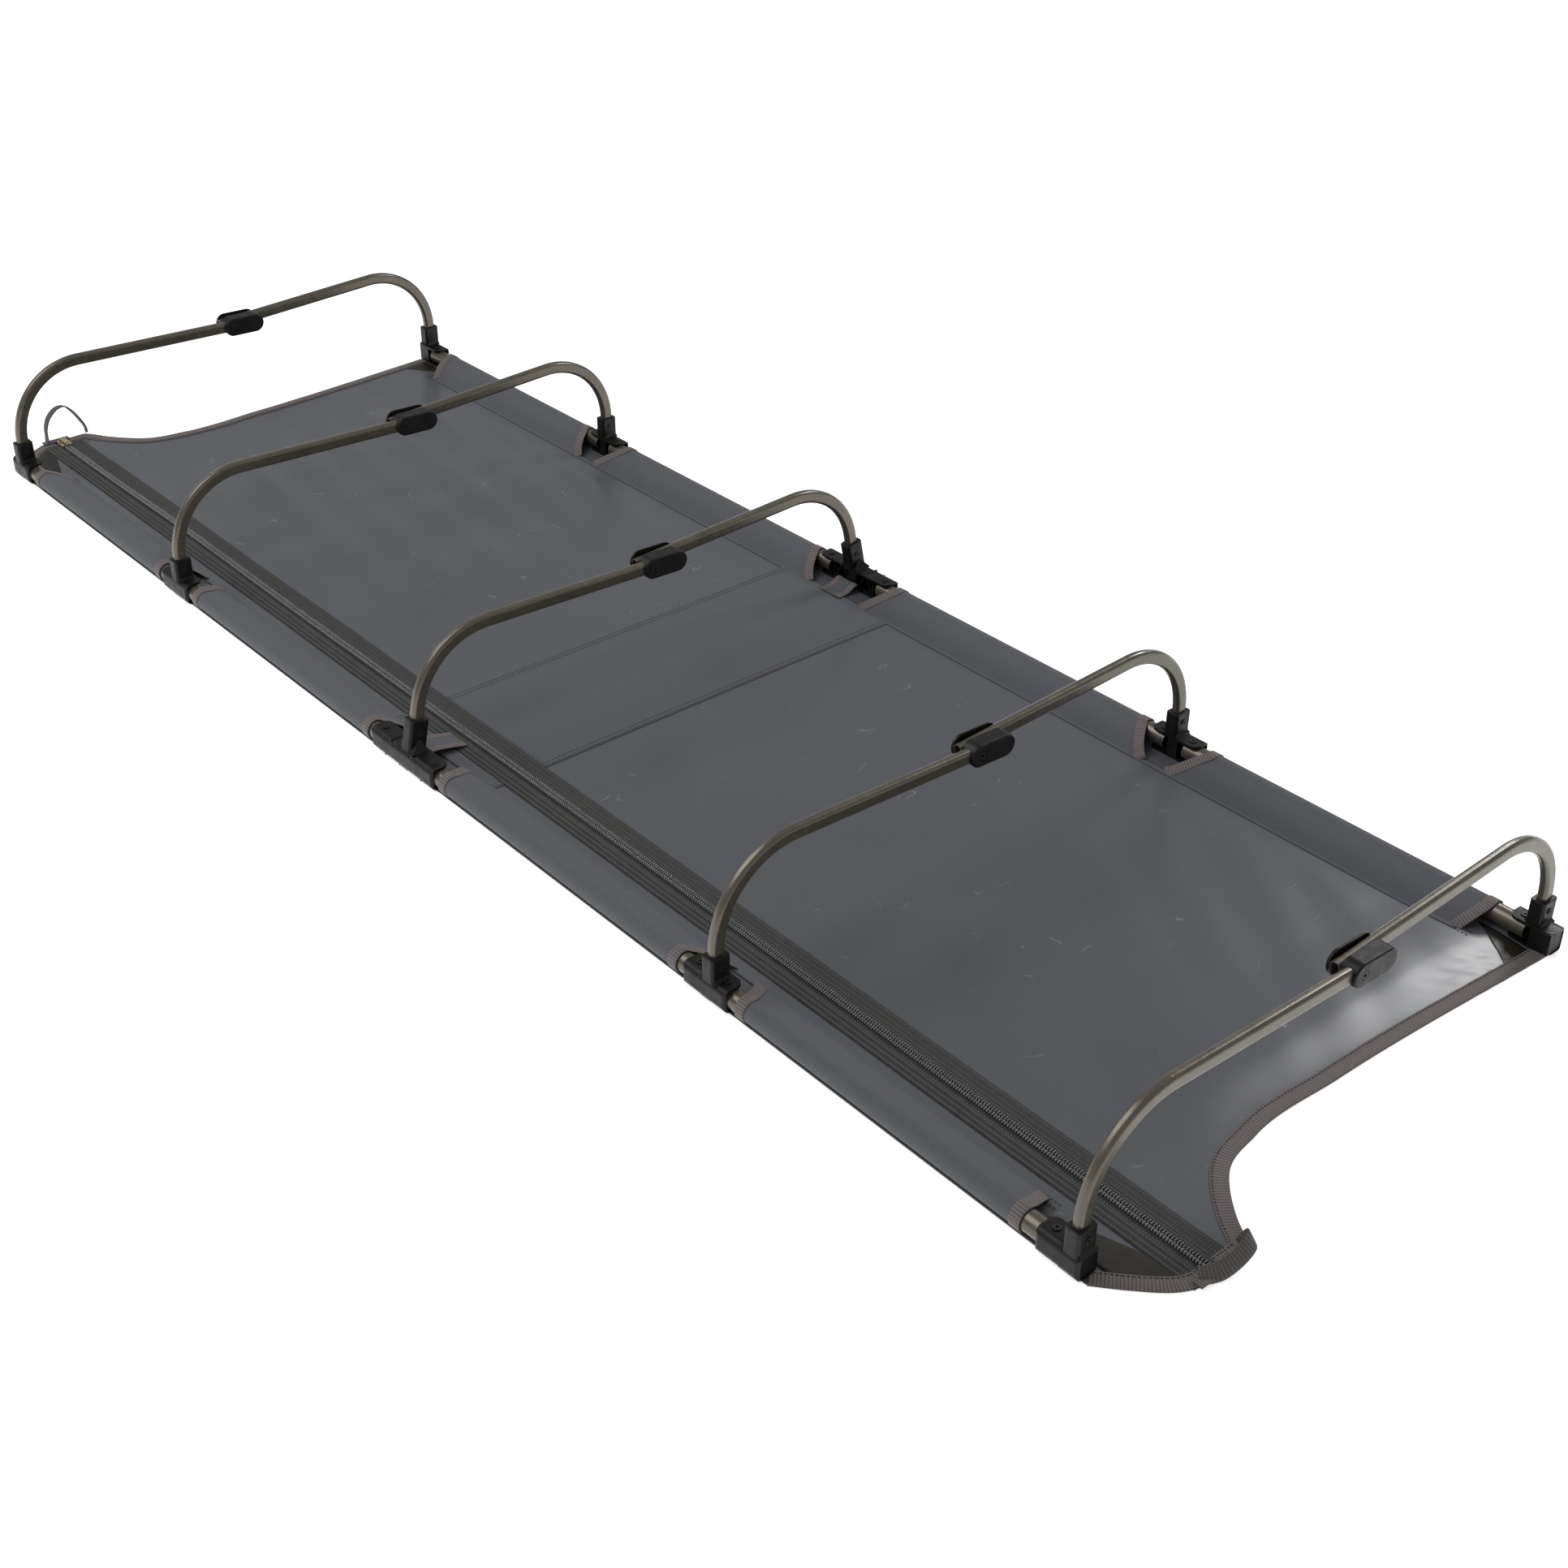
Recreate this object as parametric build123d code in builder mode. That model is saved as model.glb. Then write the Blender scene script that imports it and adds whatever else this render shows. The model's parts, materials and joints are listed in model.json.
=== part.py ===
"""Low five-hoop folding camp stretcher, lying on its fabric with the legs up.

+X runs from the head end to the foot end, +Y from the zipped side to the other side, +Z up.
The origin is on the floor, under the middle of the bed. All sizes are millimetres.
Each hoop is two bent legs that overlap side by side in a lap block, where one pin joins them.
The five lap pins share one line along X, and the far half of the bed swings about it.
"""
from build123d import *
from math import cos, radians, sin, sqrt, tan
import os

# Bed layout
MID_PITCH = 498.0          # middle hoop to the hoops beside it
END_PITCH = 434.0          # those hoops to the end hoops
RAIL_Y = 311.0             # rail axis from the middle of the bed
LEG_OUT = 3.0              # leg riser axis outside the rail axis
RAIL_Z = 13.0              # rail axis above the floor
LAP_OFFSET = 6.5           # each leg's plane from the middle plane of its hoop
LAP_PIN_Z = 131.8          # lap pin line above the floor

# Rail tubes
RAIL_D = 20.0
RAIL_WALL = 1.2
RAIL_TAIL = 6.0            # tube end past its pivot pin

# Legs
LEG_T = 10.0               # thickness along the bed
LEG_H = 15.0               # depth across the bend
LEG_R = 4.0                # corner radius of the section
LEG_WALL = 1.2
LEG_BEND = 88.0            # bend radius of the leg's axis
RUN_SLOPE = 2.35           # degrees that the straight run falls towards the lap
MID_LEAN = 12.0            # degrees that the middle hoop's risers lean inwards
NEAR_RUN_PAST = 39.0       # near leg past the lap pin, inside the block
FAR_TAIL = 12.0            # far leg past the lap pin

# Corner fittings
PIN_SPAN = 19.0            # pivot pin from the hoop's middle plane
MID_PIN_SPAN = 47.0        # the same at the middle fitting
PLATE_PAST_PIN = 11.0      # plate past the pin
END_REACH = 16.0           # end fitting past the hoop's middle plane
CHANNEL_TOP = 26.0
CHANNEL_BOTTOM = 1.5
PLATE_T = 2.6
OUTER_WALL = 2.8
PLATE_LIP = 10.0           # plates reach this far inboard of the rail axis
WEB_HALF = 6.5
SOCKET_WALL_X = 3.0
SOCKET_WALL_Y = 3.4
SOCKET_RISE = 25.0         # socket rim above the top plate
MID_SOCKET_RISE = 33.0
FLARE = 2.6                # foot of the socket spreads this far along the rail each way
MID_FLARE = 8.0
FLARE_RISE = 1.5           # height of the flare against its spread
FLARE_ANGLE = 33.0         # degrees that its faces lean in
SOCKET_FLOOR = 0.6         # plastic left under the leg in the socket
RIB_T = 2.2
RIB_INSET = 3.0            # ribs stand back from the plates' inboard edge
CLEAR = 0.3                # running clearance between moving pieces
FIT = 0.1                  # clearance of a fixed pin in its hole

# Lap blocks
BLOCK_FRONT = 44.0         # block past the pin towards the far side
BLOCK_BACK = 13.0          # block past the pin towards the near side
BLOCK_H = 24.0
BLOCK_SKIN = 3.6           # front and back walls
BLOCK_EDGE = 1.8
SLOT_GAP = 0.4             # free width each side of the far leg
FLOOR_START = 15.5         # slot floor begins past the sweep of the far leg's tail

# Pins and screws
PIVOT_D = 4.0
PIVOT_HEAD_D = 7.6
LEG_SCREW_D = 4.0
LEG_SCREW_HEAD_D = 6.4
LAP_SCREW_D = 5.0
LAP_HEAD_D = 8.4
HEAD_T = 2.0
HEX = 3.0                  # socket recess across its corners' radius is half of this

# Fabric
CLOTH = 1.2                # coated panel
SLEEVE_T = 1.0
SLEEVE_SLACK = 0.8
TRIM_T = 0.6
WAIST_Y = 20.0             # place of the waist across the bed
SEAM_IN = 36.0             # sleeve seam inboard of the rail axis
SEAM_W = 6.0
BAND_HALF = 94.0           # half length of the woven band across the middle
BINDING = 12.0
PANEL_EDGE = 7.0           # panel past the rail axis
CUT_HALF = 39.0            # sleeve cut-out at the outside of a fitting
CUT_SEAM_HALF = 17.0       # and at the seam
MID_CUT_HALF = 66.0
MID_CUT_SEAM_HALF = 47.0
END_CUT = 48.0             # sleeve ends this far short of the end hoops
TIP_PAST = 78.0            # fabric point past the end hoops, at each end of the zip
WAIST_SHORT = 4.0          # end hems stop this far short of the end hoops at their waist
CORNER_PAST = 19.0         # fabric corners past the end hoops
NEAR_CORNER_PAST = 22.0
KEEPER_HALF = 16.0
PATCH_BACK = 4.0           # corner patches stand back from the bindings

# Zip
ZIP_IN = 76.0              # zip line inboard of the near rail axis
TAPE_W = 25.2
TAPE_T = 0.8
COIL_W = 4.2
COIL_H = 2.6
ZIP_SPLIT = 0.8            # half the gap between the two sides of the zip
FABRIC_BACK = 11.0         # fabric edges stand back from the zip's middle line
TAPE_SHORT = 6.0           # near side of the zip ends this far short of the fabric points
SLIDER_L = 20.0
SLIDER_W = 14.4
SLIDER_WALL = 1.6
SLIDER_SHORT = 20.0        # parked slider's middle from the fabric point
PULL_L = 20.0
PULL_W = 5.4
PULL_T = 1.2
PULL_PIN_D = 1.6

# Webbing loops over the ends of the zip
LOOP_W = 12.0
LOOP_T = 1.6
LOOP_HALF = 27.0
HEAD_LOOP_H = 48.0
FOOT_LOOP_H = 24.0
LOOP_Y = -222.0
LOOP_IN = 4.0              # loops overlap the fabric points by this much

LEG_Y = RAIL_Y + LEG_OUT
TIP_X = MID_PITCH + END_PITCH + TIP_PAST
WAIST_X = MID_PITCH + END_PITCH - WAIST_SHORT
CORNER_X = MID_PITCH + END_PITCH + CORNER_PAST
ZIP_Y = -RAIL_Y + ZIP_IN
STATIONS = [-MID_PITCH - END_PITCH, -MID_PITCH, 0.0, MID_PITCH, MID_PITCH + END_PITCH]
SIDES = {"near": -1, "far": 1}
CHANNEL_INNER_TOP = CHANNEL_TOP - PLATE_T
SOCKET_X = LEG_T + 2 * SOCKET_WALL_X
SOCKET_Y = LEG_H + 2 * SOCKET_WALL_Y
NEAR_TAPE_X = TIP_X - TAPE_SHORT
SLIDER_X = -TIP_X + SLIDER_SHORT
BLOCK_FACE = LAP_OFFSET + LEG_T / 2 + BLOCK_SKIN
PIVOT_HOLE = PIVOT_D + 2 * FIT
TAPE_Z = CLOTH
COIL_Z = TAPE_Z + TAPE_T
SLOPE = radians(RUN_SLOPE)


def save(piece, name):
    """Label a finished piece and write it as its own STEP file."""
    piece.part.label = name
    export_step(piece.part, f"parts/{name}.step")


def is_middle(station):
    """True for the middle hoop, whose fitting is longer and whose risers lean."""
    return station == 3


def is_end(station):
    """True for the first and last hoops."""
    return station in (1, 5)


def hoop_x(station):
    """Middle plane of a hoop."""
    return STATIONS[station - 1]


def lean(station):
    """Inward lean of the leg risers, in degrees."""
    return MID_LEAN if is_middle(station) else 0.0


def seat(side, station):
    """Fitting's own plane: origin under the rail axis, local +Y towards the middle of the bed."""
    return Plane(
        origin=(hoop_x(station), side * RAIL_Y, 0),
        x_dir=(-side, 0, 0),
        z_dir=(0, 0, 1),
    )


def section(plane, along):
    """Plane across the rail, its local x inboard and its local y up."""
    return Plane(
        origin=plane.origin + plane.x_dir * along,
        x_dir=plane.y_dir,
        z_dir=plane.x_dir,
    )


def hoop_plane(side, x):
    """Plane of a bent leg, its local x outwards from the middle of the bed and its local y up."""
    return Plane(origin=(x, 0, 0), x_dir=(0, side, 0), z_dir=(side, 0, 0))


def lap_plane(station, dx):
    """Plane of a lap block, its origin on the lap pin and its local x along the near leg's run."""
    return Plane(
        origin=(hoop_x(station) + dx, 0, LAP_PIN_Z),
        x_dir=(0, cos(SLOPE), -sin(SLOPE)),
        z_dir=(1, 0, 0),
    )


def leg_x(side, station):
    """Plane of a leg along the bed: near legs stand towards the foot, far legs towards the head."""
    return hoop_x(station) - side * LAP_OFFSET


def riser_out(station, height):
    """Distance of a riser's axis from the middle of the bed at a height."""
    return LEG_Y - (height - RAIL_Z) * tan(radians(lean(station)))


def socket_rim(station):
    """Height of a leg socket's rim."""
    rise = MID_SOCKET_RISE if is_middle(station) else SOCKET_RISE
    return CHANNEL_TOP + rise


def pin_places(side, station):
    """Local places of the rail pivots in a fitting, along its own x."""
    if is_middle(station):
        return [-MID_PIN_SPAN, MID_PIN_SPAN]
    if not is_end(station):
        return [-PIN_SPAN, PIN_SPAN]
    inboard = 1 if station == 1 else -1
    return [-side * inboard * PIN_SPAN]


def plate_ends(side, station):
    """Local ends of a fitting along its own x."""
    pins = pin_places(side, station)
    if not is_end(station):
        return pins[0] - PLATE_PAST_PIN, pins[1] + PLATE_PAST_PIN
    if pins[0] > 0:
        return -END_REACH, pins[0] + PLATE_PAST_PIN
    return pins[0] - PLATE_PAST_PIN, END_REACH


def socket_plane(side, station, height):
    """Plane across a leg socket at a height, square to its riser."""
    tilt = radians(lean(station))
    out = riser_out(station, height)
    return Plane(
        origin=(leg_x(side, station), side * out, height),
        x_dir=(1, 0, 0),
        z_dir=(0, -side * sin(tilt), cos(tilt)),
    )


def web_ends(side, station):
    """Local ends of the solid web under the socket; an end fitting is closed at its outer end."""
    start, stop = plate_ends(side, station)
    if not is_end(station):
        return -WEB_HALF, WEB_HALF
    if pin_places(side, station)[0] > 0:
        return start + 1, WEB_HALF
    return -WEB_HALF, stop - 1


def rib_shape(station):
    """Zigzag lines of the ribs between the web and the tube ends, none for a short fitting."""
    if not is_middle(station):
        return []
    inner = WEB_HALF - 0.5
    outer = MID_PIN_SPAN - sqrt(RAIL_TAIL**2 + (RAIL_D / 2) ** 2) - CLEAR - RIB_T / 2
    low = CHANNEL_BOTTOM + PLATE_T / 2
    high = CHANNEL_INNER_TOP + PLATE_T / 2
    middle = (inner + outer) / 2
    lines = []
    for way in (-1, 1):
        zigzag = [(way * inner, low), (way * middle, high), (way * outer, low)]
        lines.append(zigzag)
        lines.append([(way * outer, low), (way * outer, high)])
    return lines


def make_fitting(side, station):
    """Corner fitting: a channel round the rail tubes, a web, and the socket of the leg."""
    plane = seat(side, station)
    start, stop = plate_ends(side, station)
    height = CHANNEL_TOP - CHANNEL_BOTTOM
    outer_face = RAIL_D / 2 + CLEAR + OUTER_WALL
    floor_z = CHANNEL_TOP + SOCKET_FLOOR
    rim = socket_rim(station)
    tilt = cos(radians(lean(station)))
    with BuildPart() as fitting:
        with BuildSketch(section(plane, start)) as channel:
            with Locations(((PLATE_LIP - outer_face) / 2, CHANNEL_BOTTOM + height / 2)):
                Rectangle(PLATE_LIP + outer_face, height)
            fillet(channel.vertices().group_by(Axis.X)[0], OUTER_WALL + 4.0)
            inner_h = CHANNEL_INNER_TOP - CHANNEL_BOTTOM - PLATE_T / 2
            inner_mid = (CHANNEL_INNER_TOP + CHANNEL_BOTTOM + PLATE_T / 2) / 2
            with BuildSketch(mode=Mode.SUBTRACT) as hollow:
                with Locations(((PLATE_LIP - RAIL_D / 2 - CLEAR) / 2, inner_mid)):
                    Rectangle(PLATE_LIP + RAIL_D / 2 + CLEAR, inner_h)
                fillet(hollow.vertices().group_by(Axis.X)[0], 4.0)
        extrude(amount=stop - start)
        with BuildSketch(plane) as outline:
            with Locations(((start + stop) / 2, (PLATE_LIP - outer_face) / 2)):
                Rectangle(stop - start, PLATE_LIP + outer_face)
            fillet(outline.vertices().group_by(Axis.Y)[-1], PLATE_LIP - 2.0)
            fillet(outline.vertices().group_by(Axis.Y)[0], 4.0)
        extrude(amount=CHANNEL_TOP + 1, mode=Mode.INTERSECT)
        with BuildSketch(plane.offset(CHANNEL_BOTTOM + 0.5)):
            web_start, web_stop = web_ends(side, station)
            with Locations(((web_start + web_stop) / 2, (PLATE_LIP - 1 - RAIL_D / 2) / 2)):
                Rectangle(web_stop - web_start, PLATE_LIP - 1 + RAIL_D / 2 + 1)
        extrude(amount=height - 1)
        flare = MID_FLARE if is_middle(station) else FLARE
        with BuildSketch(socket_plane(side, station, CHANNEL_TOP - 1)):
            Rectangle(SOCKET_X + 2 * flare, SOCKET_Y - 1)
        extrude(amount=1 + flare * FLARE_RISE, taper=FLARE_ANGLE)
        for line in rib_shape(station):
            back = plane.origin - plane.y_dir * (outer_face - OUTER_WALL / 2)
            with BuildSketch(Plane(origin=back, x_dir=plane.x_dir, z_dir=-plane.y_dir)):
                with BuildLine():
                    Polyline(*line)
                trace(line_width=RIB_T)
            extrude(amount=-(outer_face - OUTER_WALL / 2 + PLATE_LIP - RIB_INSET))
        with BuildSketch(socket_plane(side, station, CHANNEL_TOP - PLATE_T / 2)):
            RectangleRounded(SOCKET_X, SOCKET_Y, 3.2)
        extrude(amount=(rim - CHANNEL_TOP + PLATE_T / 2) / tilt)
        fillet(fitting.faces().sort_by(Axis.Z)[-1].edges(), 1.0)
        with BuildSketch(socket_plane(side, station, floor_z)):
            RectangleRounded(LEG_T, LEG_H, LEG_R)
        extrude(amount=(rim - floor_z) / tilt + 5, mode=Mode.SUBTRACT)
        with BuildSketch(plane):
            with Locations(*[(place, 0) for place in pin_places(side, station)]):
                Circle(PIVOT_HOLE / 2)
        extrude(amount=CHANNEL_TOP + 1, mode=Mode.SUBTRACT)
        with BuildSketch(plane.offset(CHANNEL_TOP - HEAD_T / 2)):
            with Locations(*[(place, 0) for place in pin_places(side, station)]):
                Circle(PIVOT_HEAD_D / 2 + FIT)
        extrude(amount=HEAD_T, mode=Mode.SUBTRACT)
        screw = leg_screw_plane(side, station)
        with BuildSketch(screw):
            Circle(LEG_SCREW_D / 2 + FIT)
        extrude(amount=-SOCKET_X - 1, mode=Mode.SUBTRACT)
        with BuildSketch(screw.offset(-HEAD_T / 2)):
            Circle(LEG_SCREW_HEAD_D / 2 + FIT)
        extrude(amount=HEAD_T, mode=Mode.SUBTRACT)
    return fitting


def leg_screw_plane(side, station):
    """Plane of the leg screw's seat, on the socket face towards the foot end, facing outwards."""
    height = CHANNEL_TOP + 0.55 * (socket_rim(station) - CHANNEL_TOP)
    return Plane(
        origin=(leg_x(side, station) + SOCKET_X / 2, side * riser_out(station, height), height),
        x_dir=(0, 1, 0),
        z_dir=(1, 0, 0),
    )


def make_leg(side, station):
    """One bent leg: riser, large bend and straight run to the lap pin and past it."""
    foot_z = CHANNEL_TOP + SOCKET_FLOOR
    past = NEAR_RUN_PAST if side < 0 else FAR_TAIL
    lean_slope = tan(radians(lean(station)))
    run_slope = tan(SLOPE)
    corner_out = (LEG_Y - (LAP_PIN_Z - RAIL_Z) * lean_slope) / (1 + run_slope * lean_slope)
    corner = (corner_out, LAP_PIN_Z + corner_out * run_slope)
    foot = (riser_out(station, foot_z), foot_z)
    tip = (-past * cos(SLOPE), LAP_PIN_Z - past * sin(SLOPE))
    with BuildPart() as leg:
        with BuildLine(hoop_plane(side, leg_x(side, station))) as axis:
            FilletPolyline(foot, corner, tip, radius=LEG_BEND)
        with BuildSketch(socket_plane(side, station, foot_z)):
            RectangleRounded(LEG_T, LEG_H, LEG_R)
            RectangleRounded(
                LEG_T - 2 * LEG_WALL, LEG_H - 2 * LEG_WALL, LEG_R - LEG_WALL, mode=Mode.SUBTRACT
            )
        sweep(path=axis.line)
        with BuildSketch(lap_plane(station, -BLOCK_FACE)):
            Circle(LAP_SCREW_D / 2 + (FIT if side < 0 else CLEAR))
        extrude(amount=2 * BLOCK_FACE, mode=Mode.SUBTRACT)
        with BuildSketch(leg_screw_plane(side, station)):
            Circle(LEG_SCREW_D / 2 + FIT)
        extrude(amount=-SOCKET_X - 1, mode=Mode.SUBTRACT)
    return leg


def make_lap_block(station):
    """Lap block: a closed pocket for the near leg and an open-topped slot for the far leg."""
    length = BLOCK_FRONT + BLOCK_BACK
    reach = BLOCK_FRONT + 10
    double = 2 * SLOPE
    slot_half = LEG_T / 2 + SLOT_GAP

    def far_underside(u):
        return u * tan(double) - LEG_H / 2 / cos(double) - CLEAR

    pocket = Plane(
        origin=lap_plane(station, LAP_OFFSET).from_local_coords((-BLOCK_BACK - 10, 0, 0)),
        x_dir=(1, 0, 0),
        z_dir=(0, cos(SLOPE), -sin(SLOPE)),
    )
    with BuildPart() as block:
        with BuildSketch(lap_plane(station, -BLOCK_FACE)):
            with Locations(((BLOCK_FRONT - BLOCK_BACK) / 2, 0)):
                SlotOverall(length, BLOCK_H)
        extrude(amount=2 * BLOCK_FACE)
        rims = block.faces().filter_by(Plane.YZ)
        fillet(rims.edges(), BLOCK_EDGE)
        with BuildSketch(pocket):
            RectangleRounded(LEG_T, LEG_H, LEG_R)
        extrude(amount=BLOCK_BACK + 10 + NEAR_RUN_PAST, mode=Mode.SUBTRACT)
        with BuildSketch(lap_plane(station, -LAP_OFFSET - slot_half)):
            with BuildLine():
                Polyline(
                    (-reach, -BLOCK_H),
                    (FLOOR_START, -BLOCK_H),
                    (FLOOR_START, far_underside(FLOOR_START)),
                    (reach, far_underside(reach)),
                    (reach, BLOCK_H),
                    (-reach, BLOCK_H),
                    close=True,
                )
            make_face()
        extrude(amount=2 * slot_half, mode=Mode.SUBTRACT)
        with BuildSketch(lap_plane(station, -BLOCK_FACE)):
            Circle(LAP_SCREW_D / 2 + FIT)
        extrude(amount=2 * BLOCK_FACE, mode=Mode.SUBTRACT)
        with BuildSketch(lap_plane(station, BLOCK_FACE - HEAD_T)):
            Circle(LAP_HEAD_D / 2 + 0.5)
        extrude(amount=HEAD_T, mode=Mode.SUBTRACT)
    return block


def make_rail_tube(side, first):
    """Rail tube between a fitting and the next one towards the foot end."""
    ends = []
    for station, way in ((first, 1), (first + 1, -1)):
        span = MID_PIN_SPAN if is_middle(station) else PIN_SPAN
        ends.append((hoop_x(station) + way * span, way))
    start = ends[0][0] - RAIL_TAIL
    stop = ends[1][0] + RAIL_TAIL
    with BuildPart() as tube:
        with BuildSketch(Plane(origin=(start, side * RAIL_Y, RAIL_Z), z_dir=(1, 0, 0))):
            Circle(RAIL_D / 2)
            Circle(RAIL_D / 2 - RAIL_WALL, mode=Mode.SUBTRACT)
        extrude(amount=stop - start)
        with BuildSketch(Plane(origin=(0, side * RAIL_Y, 0))):
            with Locations(*[(x, 0) for x, _ in ends]):
                Circle(PIVOT_HOLE / 2)
        extrude(amount=RAIL_Z + RAIL_D, mode=Mode.SUBTRACT)
    return tube


def make_pivot_pins(side):
    """Headed pins that hold the rail tubes in the fittings of one side."""
    with BuildPart() as pins:
        for station in range(1, 6):
            plane = seat(side, station)
            places = [(place, 0) for place in pin_places(side, station)]
            with BuildSketch(plane.offset(CHANNEL_BOTTOM)):
                with Locations(*places):
                    Circle(PIVOT_D / 2)
            extrude(amount=CHANNEL_TOP - CHANNEL_BOTTOM)
            with BuildSketch(plane.offset(CHANNEL_TOP - HEAD_T / 2)):
                with Locations(*places):
                    Circle(PIVOT_HEAD_D / 2)
            extrude(amount=HEAD_T)
            with BuildSketch(plane.offset(CHANNEL_TOP)):
                with Locations(*places):
                    RegularPolygon(HEX / 2, 6)
            extrude(amount=HEAD_T, mode=Mode.SUBTRACT)
    return pins


def make_leg_screws(side):
    """Screws through the sockets and the feet of the legs of one side."""
    with BuildPart() as screws:
        for station in range(1, 6):
            plane = leg_screw_plane(side, station)
            with BuildSketch(plane):
                Circle(LEG_SCREW_D / 2)
            extrude(amount=-SOCKET_X)
            with BuildSketch(plane.offset(-HEAD_T / 2)):
                Circle(LEG_SCREW_HEAD_D / 2)
            extrude(amount=HEAD_T)
            with BuildSketch(plane):
                RegularPolygon(HEX / 2, 6)
            extrude(amount=HEAD_T, mode=Mode.SUBTRACT)
    return screws


def make_lap_screws():
    """The five lap pins: socket-headed shoulder screws along the folding line."""
    with BuildPart() as screws:
        for station in range(1, 6):
            with BuildSketch(lap_plane(station, -BLOCK_FACE)):
                Circle(LAP_SCREW_D / 2)
            extrude(amount=2 * BLOCK_FACE - HEAD_T)
            with BuildSketch(lap_plane(station, BLOCK_FACE - HEAD_T)):
                Circle(LAP_HEAD_D / 2)
                RegularPolygon(HEX / 2 + 0.4, 6, mode=Mode.SUBTRACT)
            extrude(amount=HEAD_T)
    return screws


def tangent_out(reach, radius):
    """Point where a line from (reach, level of the seam) touches the top of the sleeve's circle."""
    rise = CLOTH + SLEEVE_T / 2 - RAIL_Z
    far = sqrt(reach**2 + rise**2)
    cosine = radius / far
    sine = sqrt(1 - cosine**2)
    along = (reach / far, rise / far)
    return (
        radius * (cosine * along[0] - sine * along[1]),
        RAIL_Z + radius * (cosine * along[1] + sine * along[0]),
    )


def make_sleeve(side):
    """Sleeve of one side: woven strip from its seam over the rail and under it, cut out at fittings."""
    inner_r = RAIL_D / 2 + SLEEVE_SLACK
    outer_r = inner_r + SLEEVE_T
    reach = SEAM_IN + SEAM_W / 2
    lap = 8.0
    low = RAIL_Z - outer_r
    level = CLOTH + SLEEVE_T / 2
    start = STATIONS[0] + END_CUT
    stop = STATIONS[-1] - END_CUT
    top_out = tangent_out(reach, outer_r)
    top_in = tangent_out(reach, inner_r)
    profile = Plane(origin=(start, side * RAIL_Y, 0), x_dir=(0, -side, 0), z_dir=(-side, 0, 0))
    with BuildPart() as sleeve:
        with BuildSketch(profile):
            with BuildLine():
                Line((reach, level - SLEEVE_T / 2), (reach, level + SLEEVE_T / 2))
                Line((reach, level + SLEEVE_T / 2), top_out)
                ThreePointArc(top_out, (-outer_r, RAIL_Z), (0, low))
                Line((0, low), (lap, low))
                Line((lap, low), (lap, low + SLEEVE_T))
                Line((lap, low + SLEEVE_T), (0, low + SLEEVE_T))
                ThreePointArc((0, low + SLEEVE_T), (-inner_r, RAIL_Z), top_in)
                Line(top_in, (reach, level - SLEEVE_T / 2))
            make_face()
        extrude(amount=-side * (stop - start))
        for station in (2, 3, 4):
            wide = notch_half(station)
            narrow = MID_CUT_SEAM_HALF if is_middle(station) else CUT_SEAM_HALF
            with BuildSketch(seat(side, station)):
                with BuildLine():
                    Polyline(
                        (-narrow, reach + 1),
                        (narrow, reach + 1),
                        (wide, -outer_r - 2),
                        (-wide, -outer_r - 2),
                        close=True,
                    )
                make_face()
            extrude(amount=RAIL_Z + RAIL_D, mode=Mode.SUBTRACT)
    return sleeve


def hem_points(way, inset):
    """Points of the far panel's end hem, from the zip to the far corner."""
    return [
        (way * (TIP_X - inset), ZIP_Y + FABRIC_BACK),
        (way * (TIP_X - 3 - inset), ZIP_Y + 40),
        (way * (TIP_X - 30 - inset), ZIP_Y + 58),
        (way * (WAIST_X + 16 - inset), ZIP_Y + 92),
        (way * (WAIST_X - inset), ZIP_Y + 145),
        (way * (WAIST_X - inset), WAIST_Y),
        (way * (CORNER_X - inset), RAIL_Y + PANEL_EDGE),
    ]


def near_hem_points(way, inset):
    """Points of the near panel's end hem, from the zip to the near corner."""
    return [
        (way * (TIP_X - inset), ZIP_Y - FABRIC_BACK),
        (way * (TIP_X - 2 - inset), ZIP_Y - 34),
        (way * (MID_PITCH + END_PITCH + NEAR_CORNER_PAST - inset), -RAIL_Y - PANEL_EDGE),
    ]


def notch_half(station):
    """Half length of the fabric's cut-out at a fitting."""
    return MID_CUT_HALF if is_middle(station) else CUT_HALF


def make_main_panel():
    """Coated panel from the zip to the far rail."""
    with BuildPart() as panel:
        with BuildSketch():
            with BuildLine():
                right = Spline(*hem_points(1, 0))
                left = Spline(*hem_points(-1, 0))
                Line(right @ 0, left @ 0)
                Line(right @ 1, left @ 1)
            make_face()
        extrude(amount=CLOTH)
        for station in (2, 3, 4):
            with BuildSketch(seat(1, station)):
                with Locations((0, PLATE_LIP + 1 - 20)):
                    Rectangle(2 * notch_half(station), 40)
            extrude(amount=CLOTH, mode=Mode.SUBTRACT)
    return panel


def make_near_panel():
    """Coated strip from the zip to the near rail."""
    with BuildPart() as panel:
        with BuildSketch():
            with BuildLine():
                right = Polyline(*near_hem_points(1, 0))
                left = Polyline(*near_hem_points(-1, 0))
                Line(right @ 0, left @ 0)
                Line(right @ 1, left @ 1)
            make_face()
        extrude(amount=CLOTH)
        for station in (2, 3, 4):
            with BuildSketch(seat(-1, station)):
                with Locations((0, PLATE_LIP + 1 - 20)):
                    Rectangle(2 * notch_half(station), 40)
            extrude(amount=CLOTH, mode=Mode.SUBTRACT)
    return panel


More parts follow.
